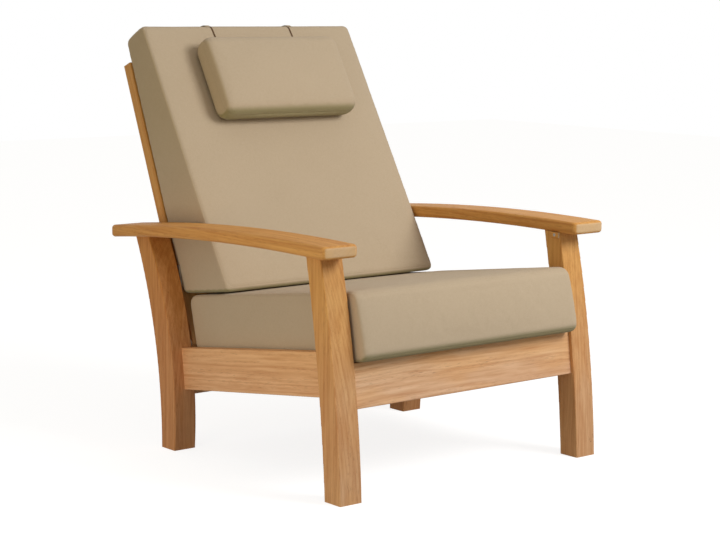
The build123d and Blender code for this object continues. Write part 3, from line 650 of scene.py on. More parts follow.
@dataclass(frozen=True)
class NylonFinish:
    """Moulded natural nylon with a fine spark texture.

    Args:
        title: The material's name.
        colour: The paler nylon.
        shade: Its darker clouds.
        relief: How deep the texture is.
    """

    title: str = "moulded nylon"
    colour: Triple = srgb(226, 223, 213)
    shade: Triple = srgb(206, 202, 190)
    relief: float = 0.00006

    def material(self) -> bpy.types.Material:
        """Makes the nylon's material."""
        g = Material(self.title, Specular_IOR_Level=0.45)
        place = g.coordinates["Object"]
        spark = g.noise(place, 2200.0, 2.0, 0.6)
        colour = g.blend(g.noise(place, 120.0), self.colour, self.shade)
        return g.finish(colour, g.weigh((spark, 0.16), base=0.46), spark, self.relief)


@dataclass(frozen=True)
class StrapFinish:
    """Flat woven brown tape with a herringbone of yarns, laid out on the strap's own attributes.

    Args:
        title: The material's name.
        light: The yarns' paler side.
        dark: The gaps between yarns.
        pitch: From one yarn to the next.
        relief: How deep the weave is.
    """

    title: str = "brown tape"
    light: Triple = srgb(112, 82, 52)
    dark: Triple = srgb(70, 48, 30)
    pitch: float = 0.0009
    relief: float = 0.0003

    def material(self) -> bpy.types.Material:
        """Makes the tape's material."""
        g = Material(self.title, Specular_IOR_Level=0.25, Sheen_Weight=0.1)
        slant = g.math("ADD", g.attribute("run"), g.math("ABSOLUTE", g.attribute("side")))
        wave = g.math("ABSOLUTE", g.math("SINE", g.times(slant, math.pi / self.pitch)))
        fuzz = g.noise(g.coordinates["Object"], 900.0, 2.0, 0.6)
        tone = g.weigh((wave, 0.6), (fuzz, 0.4))
        return g.finish(g.blend(tone, self.dark, self.light), 0.8, tone, self.relief)


def new_piece(name: str, mesh: bpy.types.Mesh) -> bpy.types.Object:
    """Puts a mesh into the scene as an object at the origin, with smooth faces.

    Args:
        name: The object's name.
        mesh: The mesh.

    Returns:
        The object.
    """
    piece = bpy.data.objects.new(name, mesh)
    bpy.context.scene.collection.objects.link(piece)
    mesh.polygons.foreach_set("use_smooth", [True] * len(mesh.polygons))
    return piece


def mesh_of(shape: bmesh.types.BMesh, name: str) -> bpy.types.Mesh:
    """Turns a finished shape into a mesh.

    Args:
        shape: The shape, which is freed.
        name: The mesh's name.

    Returns:
        The mesh, with its faces turned outward.
    """
    bmesh.ops.recalc_face_normals(shape, faces=shape.faces)
    mesh = bpy.data.meshes.new(name)
    shape.to_mesh(mesh)
    shape.free()
    return mesh


def surface_of(mesh: bpy.types.Mesh) -> BVHTree:
    """Makes a surface to find places on.

    Args:
        mesh: The mesh that has the surface.

    Returns:
        The surface.
    """
    shape = bmesh.new()
    shape.from_mesh(mesh)
    surface = BVHTree.FromBMesh(shape)
    shape.free()
    return surface


def skin(shape: bmesh.types.BMesh, rings: list[list[bmesh.types.BMVert]]) -> None:
    """Joins closed rings of points into a solid with two end faces.

    Args:
        shape: The shape that the rings are in.
        rings: The rings in order, with the same number of points each.
    """
    count = len(rings[0])
    for first, second in zip(rings, rings[1:]):
        for k in range(count):
            after = (k + 1) % count
            shape.faces.new((first[k], first[after], second[after], second[k]))
    shape.faces.new(rings[0])
    shape.faces.new(list(reversed(rings[-1])))


def points_of(mesh: bpy.types.Mesh) -> np.ndarray:
    """The places of a mesh's points, one row each."""
    points = np.empty(len(mesh.vertices) * 3)
    mesh.vertices.foreach_get("co", points)
    return points.reshape(-1, 3)


def set_points(mesh: bpy.types.Mesh, points: np.ndarray) -> None:
    """Moves a mesh's points to new places."""
    mesh.vertices.foreach_set("co", points.ravel())
    mesh.update()


def apply_modifiers(piece: bpy.types.Object) -> None:
    """Replaces an object's mesh by what its modifiers give, and removes them.

    Args:
        piece: The object.
    """
    graph = bpy.context.evaluated_depsgraph_get()
    mesh = bpy.data.meshes.new_from_object(piece.evaluated_get(graph), depsgraph=graph)
    piece.modifiers.clear()
    piece.data = mesh


def merged_copy(node: str) -> bpy.types.Mesh:
    """Makes a mesh of a node's solid, with its loose triangles joined.

    Args:
        node: The node.

    Returns:
        The mesh.
    """
    shape = bmesh.new()
    shape.from_mesh(frame["nodes"][node].data)
    bmesh.ops.remove_doubles(shape, verts=shape.verts, dist=0.00002)
    return mesh_of(shape, node + "_cover")


@dataclass(frozen=True)
class SeamLoop:
    """A sewn seam round one panel of a box cushion, in the cushion's own axes.

    Args:
        half: Half the panel's width, about the chair's middle.
        ends: Where the panel starts and ends, along the cushion.
        level: How far out the panel lies, at its two ends.
        facing: 1 for a panel that looks out, -1 for one that looks back.
        inset: How far inside the panel's edges the seam runs, on all three axes.
        corner: How round its corners are.
    """

    half: float
    ends: tuple[float, float]
    level: tuple[float, float]
    facing: int
    inset: float = 0.0065
    corner: float = 0.02

    def measure(self, x: float, along: float, out: float) -> tuple[float, float]:
        """How far a point lies from the seam, and how far along the seam it is.

        Args:
            x: The point's place across the chair.
            along: Its place along the panel.
            out: Its place square to the panel.

        Returns:
            The signed distance from the seam, and the run along it.
        """
        start, end = self.ends[0] + self.inset, self.ends[1] - self.inset
        px = abs(x) - self.half + self.inset + self.corner
        py = abs(along - (start + end) / 2) - (end - start) / 2 + self.corner
        outside = math.hypot(max(px, 0), max(py, 0)) + min(max(px, py), 0) - self.corner
        share = min(max((along - start) / (end - start), 0), 1)
        level = self.level[0] + (self.level[1] - self.level[0]) * share - self.inset * self.facing
        above = (out - level) * self.facing
        run = x if py > px else along
        near = math.hypot(outside, above) < 1.5 * self.corner
        return (outside - above) / math.sqrt(2) if near else 1.0, run


@dataclass
class Cushion:
    """A box cushion: its cover is blown up from inside like a filled pad, and held in the space of its solid.

    Args:
        node: The solid that the cushion replaces.
        body: The body that it rides on.
        axes: The cushion's own axes.
        seams: The seams of its panels.
        held: Says how a face is held, from a point in the cushion's axes and the face's outward direction.
        slack: How much smaller than its solid the cover starts.
        swell: How far it may swell out of the solid.
        sag_share: How much of that it may draw in at its edges.
        wrinkle: How deep its creases may be.
        unevenness: How uneven its filling is.
        voxel: The cell of its even mesh.
        pressure: What blows it up.
        fill: How tightly it is filled; not used.
        seed: Where its unevenness is drawn from.
        contact: The clearance of a face that rests on something.
        even_normals: How often its outward directions are evened out.
        even_swell: How often the swell is evened out, so that only the creases differ from it.
        even_hold: How often the edge of what is held is evened out.
        soft_limit: The swell of the simulation at which the kept swell starts to level off.
    """

    node: str
    body: str
    axes: Axes
    seams: list[SeamLoop]
    held: Callable[[Triple, Triple], Rest]
    slack: float = 0.006
    swell: float = 0.0022
    sag_share: float = 0.15
    wrinkle: float = 0.0003
    unevenness: float = 0.0004
    voxel: float = 0.0070
    pressure: float = 4.0
    fill: float = 0.8
    seed: float = 0.0
    contact: float = 0.0003
    even_normals: int = 3
    even_swell: int = 40
    even_hold: int = 20
    soft_limit: float = 0.02
    # Made by start()
    piece: bpy.types.Object = field(init=False, repr=False)
    surface: BVHTree = field(init=False, repr=False)
    edges: np.ndarray = field(init=False, repr=False)
    anchors: np.ndarray = field(init=False, repr=False)
    normals: np.ndarray = field(init=False, repr=False)
    first: np.ndarray = field(init=False, repr=False)

    def start(self) -> None:
        """Makes the cover's even mesh, slightly smaller than the solid, and keeps the solid's surface."""
        solid = merged_copy(self.node)
        self.surface = surface_of(solid)
        self.piece = new_piece(self.node + "_cover", solid)
        remesh = self.piece.modifiers.new("even", "REMESH")
        remesh.mode = "VOXEL"
        remesh.voxel_size = self.voxel
        apply_modifiers(self.piece)
        mesh = self.piece.data
        for vertex in mesh.vertices:
            vertex.co = self.surface.find_nearest(vertex.co)[0]
        mesh.update()
        edges = np.empty(len(mesh.edges) * 2, dtype=np.int32)
        mesh.edges.foreach_get("vertices", edges)
        self.edges = edges.reshape(-1, 2)
        self.anchors = points_of(mesh)
        normals = np.array([vertex.normal for vertex in mesh.vertices])
        self.normals = self.relaxed(normals, self.even_normals)
        self.normals /= np.linalg.norm(self.normals, axis=1, keepdims=True)
        self.first = self.anchors - self.normals * self.slack
        set_points(mesh, self.first)

    def relaxed(self, values: np.ndarray, times: int) -> np.ndarray:
        """Evens out values at the cover's points.

        Args:
            values: A number or a vector for each point.
            times: How often each is evened out with its neighbours.

        Returns:
            The evened values.
        """
        count = np.bincount(self.edges.ravel(), minlength=len(values))
        count = count.reshape((-1,) + (1,) * (values.ndim - 1))
        for _ in range(times):
            total = np.zeros_like(values)
            np.add.at(total, self.edges[:, 0], values[self.edges[:, 1]])
            np.add.at(total, self.edges[:, 1], values[self.edges[:, 0]])
            values = values / 2 + total / count / 2
        return values

    def blow_up(self) -> None:
        """Adds the cloth simulation, which is stepped for all the cushions together."""
        cloth = self.piece.modifiers.new("cover", "CLOTH")
        settings = cloth.settings
        settings.quality = 4
        settings.mass = 0.15
        settings.tension_stiffness = 14.0
        settings.compression_stiffness = 14.0
        settings.shear_stiffness = 6.0
        settings.bending_stiffness = 0.5
        settings.use_pressure = True
        settings.uniform_pressure_force = self.pressure
        settings.effector_weights.gravity = 0.0
        cloth.point_cache.frame_start = 1
        cloth.point_cache.frame_end = SIMULATION_STEPS

    def settle(self) -> None:
        """Lays the simulated cover in the space that the cushion has.

        The slow swell of the simulation is held to a few millimetres either side of the solid, its creases
        are kept, and a face that rests on something stays flat.
        """
        if self.piece.modifiers:
            apply_modifiers(self.piece)
        mesh = self.piece.data
        out = ((points_of(mesh) - self.first) * self.normals).sum(axis=1)
        slow = self.relaxed(out, self.even_swell)
        crease = np.clip(out - slow, -self.wrinkle, self.wrinkle)
        uneven = np.array([self.uneven_at(Vector(point)) for point in self.anchors])
        free = np.array([self.freedom(p, n) for p, n in zip(self.anchors, self.normals)])
        free = self.relaxed(free, self.even_hold)
        swell = self.swell * np.tanh(slow / self.soft_limit)
        swell = np.where(swell < 0, swell * self.sag_share, swell)
        offset = free * (swell + crease + uneven) - (1 - free) * self.contact
        set_points(mesh, self.anchors + self.normals * offset[:, None])
        smooth = self.piece.modifiers.new("smooth", "SUBSURF")
        smooth.levels = smooth.render_levels = 1
        apply_modifiers(self.piece)
        mesh = self.piece.data
        self.keep_clear(mesh)
        self.mark_seams(mesh)
        mesh.polygons.foreach_set("use_smooth", [True] * len(mesh.polygons))
        mesh.update()

    def uneven_at(self, point: Vector) -> float:
        """The slow unevenness of foam under cloth."""
        place = point * 7.0 + Vector((self.seed, 0, 0))
        return self.unevenness * (noise.noise(place) + 0.5 * noise.noise(place * 2.3))

    def freedom(self, point: Iterable[float], normal: Iterable[float]) -> float:
        """Whether the cover is free at a point, 1, or held, 0."""
        facing = Vector(normal)
        looks = (facing.x, facing.dot(self.axes.along), facing.dot(self.axes.square))
        return 1.0 if self.held(self.axes.local(Vector(point)), looks) is Rest.FREE else 0.0

    def keep_clear(self, mesh: bpy.types.Mesh) -> None:
        """Brings held points that stand out of the solid back to its surface.

        Args:
            mesh: The settled cover.
        """
        for vertex in mesh.vertices:
            nearest, normal, _, _ = self.surface.find_nearest(vertex.co)
            out = (vertex.co - nearest).dot(normal)
            if out > -self.contact / 2 and not self.freedom(vertex.co, normal):
                vertex.co -= normal * (out + self.contact / 2)

    def mark_seams(self, mesh: bpy.types.Mesh) -> None:
        """Stores each point's distance from the nearest seam, and how far along the seam it is.

        Args:
            mesh: The settled cover.
        """
        seam = mesh.attributes.new("seam", "FLOAT", "POINT")
        run = mesh.attributes.new("run", "FLOAT", "POINT")
        distances, runs = [], []
        for vertex in mesh.vertices:
            local = self.axes.local(vertex.co)
            measures = [loop.measure(*local) for loop in self.seams]
            distance, along = min(measures, key=lambda measure: abs(measure[0]))
            distances.append(distance)
            runs.append(along)
        seam.data.foreach_set("value", distances)
        run.data.foreach_set("value", runs)

    def dress(self, material: bpy.types.Material) -> None:
        """Gives the cover its cloth, puts it on its body and hides the solid that it replaces.

        Args:
            material: The cloth.
        """
        self.piece.data.materials.clear()
        self.piece.data.materials.append(material)
        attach(self.piece, self.body)
        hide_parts(self.node)
        log.info("%s: %d faces", self.piece.name, len(self.piece.data.polygons))


@dataclass
class HeadrestStraps:
    """Two flat straps that hang the pillow over the back, each through a low keeper on the cushion's top.

    Args:
        place: From the chair's middle to each strap.
        width: A strap's width.
        thickness: Its thickness.
        clearance: How far it lies off the cushion.
        heart: The point inside the cushion's top that its outline is measured from, along and square.
        over: The angles of the rays that give a strap's run over the cushion, in degrees.
        rail_top: The top rail's upper face, along the back.
        rail_half: Half the top rail's thickness.
        tail: How far a strap hangs down behind the rail.
        keeper_width: A keeper's width.
        keeper_rise: How far its middle stands off the cushion.
        keeper_shift: How far it lies outside its strap's middle.
        keeper_over: The angles of the rays that give its run.
        profile_points: The number of points round a strap.
    """

    place: float = 0.121
    width: float = 0.0042
    thickness: float = 0.0011
    clearance: float = 0.0002
    heart: tuple[float, float] = (0.716, -0.058)
    over: range = range(-100, 78, 3)
    rail_top: float = 0.712
    rail_half: float = 0.012
    tail: float = 0.022
    keeper_width: float = 0.015
    keeper_rise: float = 0.0034
    keeper_shift: float = 0.006
    keeper_over: range = range(-38, 13, 3)
    profile_points: int = 12

    def outline(self, cushion: BVHTree, x: float, angles: Iterable[float]) -> list[Vector]:
        """Points on the cushion's surface, on rays that fan out from a point inside its top.

        Args:
            cushion: The finished cushion.
            x: The strap's place across the chair.
            angles: The rays' angles in degrees, from straight up towards the rear.

        Returns:
            The points where the rays leave the cushion.
        """
        centre = BACK.place(x, *self.heart)
        points = []
        for angle in angles:
            turn = math.radians(angle)
            ray = BACK.along * math.cos(turn) + BACK.square * math.sin(turn)
            hit, _, _, _ = cushion.ray_cast(centre + ray * 0.3, -ray)
            points.append(hit + ray * (self.thickness / 2 + self.clearance))
        return points

    def keeper(self, cushion: BVHTree, x: float) -> list[Vector]:
        """The middle of the cloth loop that holds a strap down, which rises off the cushion between its ends.

        Args:
            cushion: The finished cushion.
            x: The strap's place across the chair.

        Returns:
            The points along the loop.
        """
        points = self.outline(cushion, x + math.copysign(self.keeper_shift, x), self.keeper_over)
        for k, point in enumerate(points):
            rise = self.keeper_rise * math.sin(math.pi * k / (len(points) - 1))
            points[k] = point + (point - BACK.place(point.x, *self.heart)).normalized() * rise
        return points

    def behind(self, x: float) -> list[Vector]:
        """A strap's run from the cushion over the top rail and down its rear.

        Args:
            x: The strap's place across the chair.

        Returns:
            The points along the strap.
        """
        top, lift = self.rail_top, self.thickness / 2 + 2 * self.clearance
        rear = self.rail_half + lift
        run = [
            (top + 0.010, -0.0148),
            (top + 0.004, -0.0140),
            (top + lift, -0.0110),
            (top + lift, 0.0),
            (top + lift, self.rail_half - 0.0010),
            (top - 0.0012, rear),
            (top - self.tail / 2, rear),
            (top - self.tail, rear),
        ]
        return [BACK.place(x, along, square) for along, square in run]

    def ribbon(self, points: list[Vector], width: float, name: str) -> bpy.types.Object:
        """A flat band with rounded edges that follows points in a plane of constant x.

        Args:
            points: The middle of the band.
            width: Its width.
            name: The object's name.

        Returns:
            The band as an object.
        """
        shape = bmesh.new()
        run_layer = shape.verts.layers.float.new("run")
        side_layer = shape.verts.layers.float.new("side")
        profile = []
        for k in range(self.profile_points):
            turn = 2 * math.pi * k / self.profile_points
            across = math.copysign(abs(math.cos(turn)) ** 0.35, math.cos(turn)) * width / 2
            profile.append((across, math.sin(turn) * self.thickness / 2))
        rings, run = [], 0.0
        for k, point in enumerate(points):
            ahead = points[min(k + 1, len(points) - 1)] - points[max(k - 1, 0)]
            up = ahead.normalized().cross(X_AXIS)
            run += (point - points[k - 1]).length if k else 0.0
            ring = []
            for across, rise in profile:
                vertex = shape.verts.new(point + X_AXIS * across + up * rise)
                vertex[run_layer], vertex[side_layer] = run, across
                ring.append(vertex)
            rings.append(ring)
        skin(shape, rings)
        return new_piece(name, mesh_of(shape, name))

    def build(self, cushion: Cushion, tape: bpy.types.Material, cloth: bpy.types.Material) -> None:
        """Lays both straps on the finished cushion, with their keepers.

        Args:
            cushion: The back cushion.
            tape: The straps' material.
            cloth: The keepers' material.
        """
        surface = surface_of(cushion.piece.data)
        bands = []
        for side, x in (("left", self.place), ("right", -self.place)):
            points = self.outline(surface, x, self.over) + self.behind(x)
            bands.append(self.ribbon(points, self.width, "headrest_strap_" + side))
            loop = self.ribbon(self.keeper(surface, x), self.keeper_width, "strap_keeper_" + side)
            loop.data.materials.append(cloth)
            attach(loop, "back")
        straps = join(bands, "headrest_straps_laid")
        straps.data.materials.append(tape)
        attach(straps, "back")
        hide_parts("headrest_straps")
        log.info("%s: %d faces", straps.name, len(straps.data.polygons))


def join(parts: list[bpy.types.Object], name: str) -> bpy.types.Object:
    """Joins objects at the origin into one.

    Args:
        parts: The objects.
        name: The name of the result.

    Returns:
        The joined object.
    """
    with bpy.context.temp_override(active_object=parts[0], object=parts[0], selected_editable_objects=parts):
        bpy.ops.object.join()
    parts[0].name = name
    return parts[0]


@dataclass
class ScrewRow:
    """A straight row of screws, or several rows side by side.

    Args:
        start: The first screw's head.
        step: From one screw to the next.
        count: How many there are in a row.
        across: From one row to the next.
        rows: How many rows there are.
        points: The direction that the screws point in.
    """

    start: Vector
    step: Vector
    count: int
    points: Vector
    across: Vector = field(default_factory=Vector)
    rows: int = 1


@dataclass
class WoodScrews:
    """Countersunk wood screws with a cross recess, set out in rows by Geometry Nodes.

    Args:
        head_radius: The head's radius.
        head_height: How deep its cone is.
        shank_radius: The shank's radius.
        tip: The length of its point.
        recess_reach: From the middle to the end of each bar of the cross.
        recess_half: Half the width of a bar.
        recess_depth: How deep the cross is.
        segments: The number of points round a screw.
        seed: Where the screws' turns are drawn from.
    """

    head_radius: float = 0.004
    head_height: float = 0.0023
    shank_radius: float = 0.002
    tip: float = 0.004
    recess_reach: float = 0.0024
    recess_half: float = 0.00052
    recess_depth: float = 0.0013
    segments: int = 24
    seed: int = 7

    def recess(self, turn: float) -> float:
        """How far the cross recess reaches in a direction."""
        c, s = abs(math.cos(turn)) + 1e-9, abs(math.sin(turn)) + 1e-9
        reach, half = self.recess_reach, self.recess_half
        return max(min(reach / c, half / s), min(half / c, reach / s))

    def screw(self, length: float) -> bpy.types.Object:
        """One screw that points down, with its head at the origin.

        Args:
            length: From the head's face to the tip.

        Returns:
            The screw, which isn't part of the chair and is removed after its rows are made.
        """
        shape = bmesh.new()
        turns = [2 * math.pi * k / self.segments for k in range(self.segments)]

        def ring(radius: Callable[[float], float], z: float) -> list[bmesh.types.BMVert]:
            """A closed ring of points at a height."""
            return [shape.verts.new((radius(t) * math.cos(t), radius(t) * math.sin(t), z)) for t in turns]

        rings = [
            ring(lambda t: self.recess(t) * 0.72, -self.recess_depth),
            ring(self.recess, -0.00005),
            ring(lambda t: max(self.recess(t) * 1.04, self.head_radius * 0.45), 0.0),
            ring(lambda t: self.head_radius - 0.00025, 0.0),
            ring(lambda t: self.head_radius, -0.00025),
            ring(lambda t: self.shank_radius, -self.head_height),
            ring(lambda t: self.shank_radius, self.tip - length),
            ring(lambda t: self.shank_radius * 0.15, -length),
        ]
        skin(shape, rings)
        return bpy.data.objects.new("screw", mesh_of(shape, "screw"))

    def tree(self) -> bpy.types.NodeTree:
        """The Geometry Nodes tree that sets screws out in rows, each turned by chance about its own axis."""
        tree = bpy.data.node_groups.new("rows of screws", "GeometryNodeTree")
        sockets = {
            "Screw": "NodeSocketObject",
            "Start": "NodeSocketVector",
            "Step": "NodeSocketVector",
            "Count": "NodeSocketInt",
            "Across": "NodeSocketVector",
            "Rows": "NodeSocketInt",
            "Turn": "NodeSocketRotation",
            "Finish": "NodeSocketMaterial",
        }
        for title, kind in sockets.items():
            tree.interface.new_socket(title, in_out="INPUT", socket_type=kind)
        tree.interface.new_socket("Geometry", in_out="OUTPUT", socket_type="NodeSocketGeometry")
        g = Graph(tree)
        given = g.add("NodeGroupInput").outputs
        rows = g.add("GeometryNodeMeshLine", {"Count": given["Rows"], "Offset": given["Across"]})
        line = {"Count": given["Count"], "Start Location": given["Start"], "Offset": given["Step"]}
        row = g.add("GeometryNodeMeshLine", line)
        grid = g.add("GeometryNodeInstanceOnPoints", {"Points": rows.outputs[0], "Instance": row.outputs[0]})
        points = g.add("GeometryNodeRealizeInstances", {0: grid.outputs[0]})
        limits = {2: 0.0, 3: 2 * math.pi, "Seed": self.seed}
        chance = g.add("FunctionNodeRandomValue", limits, data_type="FLOAT")
        about = g.add("ShaderNodeCombineXYZ", {2: chance.outputs[1]})
        own = g.add("FunctionNodeEulerToRotation", {0: about.outputs[0]})
        turns = {0: given["Turn"], 1: own.outputs[0]}
        turned = g.add("FunctionNodeRotateRotation", turns, rotation_space="LOCAL")
        shape = g.add("GeometryNodeObjectInfo", {"Object": given["Screw"]})
        screw = shape.outputs["Geometry"]
        places = {"Points": points.outputs[0], "Instance": screw, "Rotation": turned.outputs[0]}
        laid = g.add("GeometryNodeInstanceOnPoints", places)
        real = g.add("GeometryNodeRealizeInstances", {0: laid.outputs[0]})
        dressed = g.add("GeometryNodeSetMaterial", {"Geometry": real.outputs[0], "Material": given["Finish"]})
        g.add("NodeGroupOutput", {0: dressed.outputs[0]})
        return tree

    def lay(
        self,
        tree: bpy.types.NodeTree,
        node: str,
        length: float,
        rows: list[ScrewRow],
        material: bpy.types.Material,
    ) -> None:
        """Makes all the screws of one set as a plain mesh that replaces its solids.

        Args:
            tree: The tree that sets out rows.
            node: The solids' node.
            length: A screw's length.
            rows: The rows of the set.
            material: The screws' finish.
        """
        screw = self.screw(length)
        parts = []
        for row in rows:
            piece = new_piece(node + "_row", bpy.data.meshes.new(node))
            setter = piece.modifiers.new("rows", "NODES")
            setter.node_group = tree
            ids = {item.name: item.identifier for item in tree.interface.items_tree if item.in_out == "INPUT"}
            values = {
                "Screw": screw,
                "Start": tuple(row.start),
                "Step": tuple(row.step),
                "Count": row.count,
                "Across": tuple(row.across),
                "Rows": row.rows,
                "Turn": tuple(row.points.to_track_quat("-Z", "Y").to_euler()),
                "Finish": material,
            }
            for title, value in values.items():
                setter[ids[title]] = value
            apply_modifiers(piece)
            parts.append(piece)
        piece = join(parts, node + "_driven") if len(parts) > 1 else parts[0]
        piece.name = node + "_driven"
        bpy.data.objects.remove(screw)
        piece.data.polygons.foreach_set("use_smooth", [False] * len(piece.data.polygons))
        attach(piece, "frame")
        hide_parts(node)
        log.info("%s: %d faces", piece.name, len(piece.data.polygons))


@dataclass
class Woodwork:
    """The teak pieces of the chair, each with the way its grain runs.

    Args:
        finish: The wood's finish.
        front_lean: How far the front legs lean back, in degrees.
        rear_lean: The rear legs' lean.
        arm_slope: How far the arms slope down towards the rear.
        slat_pitch: From one deck slat to the next.
        back_pitch: From one back slat to the next.
        batch_step: From one piece's place in the log to the next piece's.
        shaded_far_leg: The left rear leg's tone, at the far side, darker with painted shade.
        brown: The rear legs' tone.
        rosy: The front legs' tone.
        golden: The arms' tone.
        pale: The side rails' tone.
        light: The front rail's tone, paler and bluer: partly its own colour and partly a painted reflection
            of the floor.
        honey: The rear rail's tone.
        stile: The back stiles' tone.
        peg: The tone of end grain in the pegs.
    """

    finish: TeakFinish = TeakFinish()
    front_lean: float = 8.1
    rear_lean: float = 11.7
    arm_slope: float = 2.35
    slat_pitch: float = 0.06578
    back_pitch: float = 0.1024
    batch_step: float = 17.0
    # Painted shade: the far rear leg is darkened as if in the chair's shadow
    shaded_far_leg: Triple = (0.64, 0.50, 0.34)
    brown: Triple = (0.86, 0.71, 0.58)
    rosy: Triple = (0.95, 0.91, 0.86)
    golden: Triple = (0.93, 0.86, 0.76)
    pale: Triple = (1.17, 1.20, 1.42)
    light: Triple = (1.08, 1.12, 1.28)
    honey: Triple = (1.0, 1.0, 0.97)
    stile: Triple = (0.98, 0.95, 0.88)
    peg: Triple = (0.9, 0.88, 0.84)

    def boards(self) -> dict[str, Board]:
        """How the grain runs in each node, left and right named once."""
        forward, up = Vector((0, 1, 0)), Vector((0, 0, 1))
        return {
            "front_leg": Board(tipped(self.front_lean - 90), forward, tone=self.rosy),
            "rear_leg": Board(tipped(self.rear_lean - 90), forward, tone=self.brown),
            "arm": Board(tipped(self.arm_slope), up, tone=self.golden),
            "side_rail": Board(SEAT.along, SEAT.square, tone=self.pale),
            "seat_cleat": Board(SEAT.along, SEAT.square),
            "seat_bearer": Board(SEAT.along, SEAT.square),
            "front_rail": Board(X_AXIS, SEAT.square, tone=self.light),
            "rear_rail": Board(X_AXIS, SEAT.square, tone=self.honey),
            "seat_slats": Board(X_AXIS, SEAT.square, SEAT.along / self.slat_pitch),
            "back_stile": Board(BACK.along, X_AXIS, tone=self.stile),
            "back_top_rail": Board(X_AXIS, BACK.along),
            "back_bottom_rail": Board(X_AXIS, BACK.along),
            "back_slats": Board(BACK.along, BACK.square, X_AXIS / self.back_pitch),
            "arm_blocks": Board(forward, up),
            "tenon_pegs": Board(X_AXIS, up, forward * 2.2, self.peg),
            "back_pegs": Board(BACK.square, X_AXIS, X_AXIS * 1.8, self.peg),
        }

    def dress(self) -> None:
        """Gives every wooden node its own piece of teak."""
        group = self.finish.make_group()
        batch = 0.0
        for title, board in self.boards().items():
            for name in (title, title + "_left", title + "_right"):
                if name in frame["nodes"]:
                    batch += self.batch_step
                    # Painted shade: the far, left rear leg gets the darker tone
                    chosen = replace(board, tone=self.shaded_far_leg) if name == "rear_leg_left" else board
                    material = self.finish.material(group, "teak " + name.replace("_", " "), chosen, batch)
                    cover_node(name, material)


def cover_node(name: str, material: bpy.types.Material) -> None:
    """Gives a node that keeps its shape its finish.

    Args:
        name: The node.
        material: Its finish.
    """
    node = frame["nodes"][name]
    if not node.data.materials:
        node.data.materials.append(material)
    for index in range(len(node.data.materials)):
        node.data.materials[index] = material
    log.info("%s keeps its shape, in %s", name, material.name)


@dataclass
class Hardware:
    """The metal and moulded fittings, which keep their shapes, and the wood screws, which are made anew.

    Args:
        steel: The finish of the steel fittings.
        brass: The finish of the brass ones.
        nylon: The finish of the moulded ones.
        screws: The maker of wood screws.
        deck_length: The length of the deck's screws.
        deck_row: From the deck's middle row of screws to its outer rows.
        deck_first: The first slat's screws, along the seat.
        slat_pitch: From one slat to the next.
        slats: The number of slats.
        cleat_length: The length of the cleats' screws.
        cleat_first: The left cleat's first screw, in the seat's axes.
        cleat_pitch: From one screw of a cleat to the next.
        cleat_count: The number of screws in a cleat.
        quadrant_length: The length of the quadrants' screws.
        quadrant_holes: The left quadrant's two screws.
        block_length: The length of the arm blocks' screws.
        block_hole: The left arm block's screw.
    """

    steel: MetalFinish = MetalFinish("zinc plated steel", srgb(186, 188, 190), srgb(150, 152, 152), 0.26)
    brass: MetalFinish = MetalFinish("drawn brass", srgb(206, 170, 96), srgb(160, 124, 66), 0.24)
    nylon: NylonFinish = NylonFinish()
    screws: WoodScrews = field(default_factory=WoodScrews)
    deck_length: float = 0.034
    deck_row: float = 0.319
    deck_first: float = 0.068779
    slat_pitch: float = 0.065779
    slats: int = 9
    cleat_length: float = 0.042
    cleat_first: Triple = (0.308, 0.103974, -0.029)
    cleat_pitch: float = 0.151949
    cleat_count: int = 4
    quadrant_length: float = 0.030
    quadrant_holes: tuple[Triple, Triple] = ((0.323, 0.227912, 0.372434), (0.323, 0.248613, 0.364112))
    block_length: float = 0.026
    block_hole: Triple = (0.3249, -0.387692, 0.524856)

    def pair(self, start: Vector, step: Vector, count: int) -> list[ScrewRow]:
        """A row on each side of the chair, with its screws pointing outward.

        Args:
            start: The left row's first screw.
            step: From one screw to the next.
            count: The number of screws in each row.

        Returns:
            The right row and the left one.
        """
        starts = ((side, Vector((side * start.x, start.y, start.z))) for side in (-1, 1))
        return [ScrewRow(place, step, count, X_AXIS * side) for side, place in starts]

    def screw_sets(self) -> dict[str, tuple[float, list[ScrewRow]]]:
        """The length and the rows of each node's wood screws."""
        deck_start = SEAT.place(-self.deck_row, self.deck_first, 0)
        across = X_AXIS * self.deck_row
        deck = ScrewRow(deck_start, SEAT.along * self.slat_pitch, self.slats, -SEAT.square, across, 3)
        cleats = self.pair(SEAT.place(*self.cleat_first), SEAT.along * self.cleat_pitch, self.cleat_count)
        low, high = (Vector(hole) for hole in self.quadrant_holes)
        return {
            "deck_screws": (self.deck_length, [deck]),
            "cleat_screws": (self.cleat_length, cleats),
            "quadrant_screws": (self.quadrant_length, self.pair(low, high - low, 2)),
            "arm_block_screws": (self.block_length, self.pair(Vector(self.block_hole), X_AXIS, 1)),
        }

    def dress(self) -> None:
        """Gives each fitting the finish of its slot, and lays the wood screws."""
        finishes = {slot: getattr(self, slot).material() for slot in ("steel", "brass", "nylon")}
        sets = self.screw_sets()
        for name, slot in node_slots().items():
            if slot in finishes and name not in sets:
                cover_node(name, finishes[slot])
        tree = self.screws.tree()
        for node, (length, rows) in sets.items():
            self.screws.lay(tree, node, length, rows, finishes["steel"])


def node_slots() -> dict[str, str]:
    """The record's material slot of each node."""
    return {part["node"]: part["material_slot"] for part in frame["record"]["subparts"]}


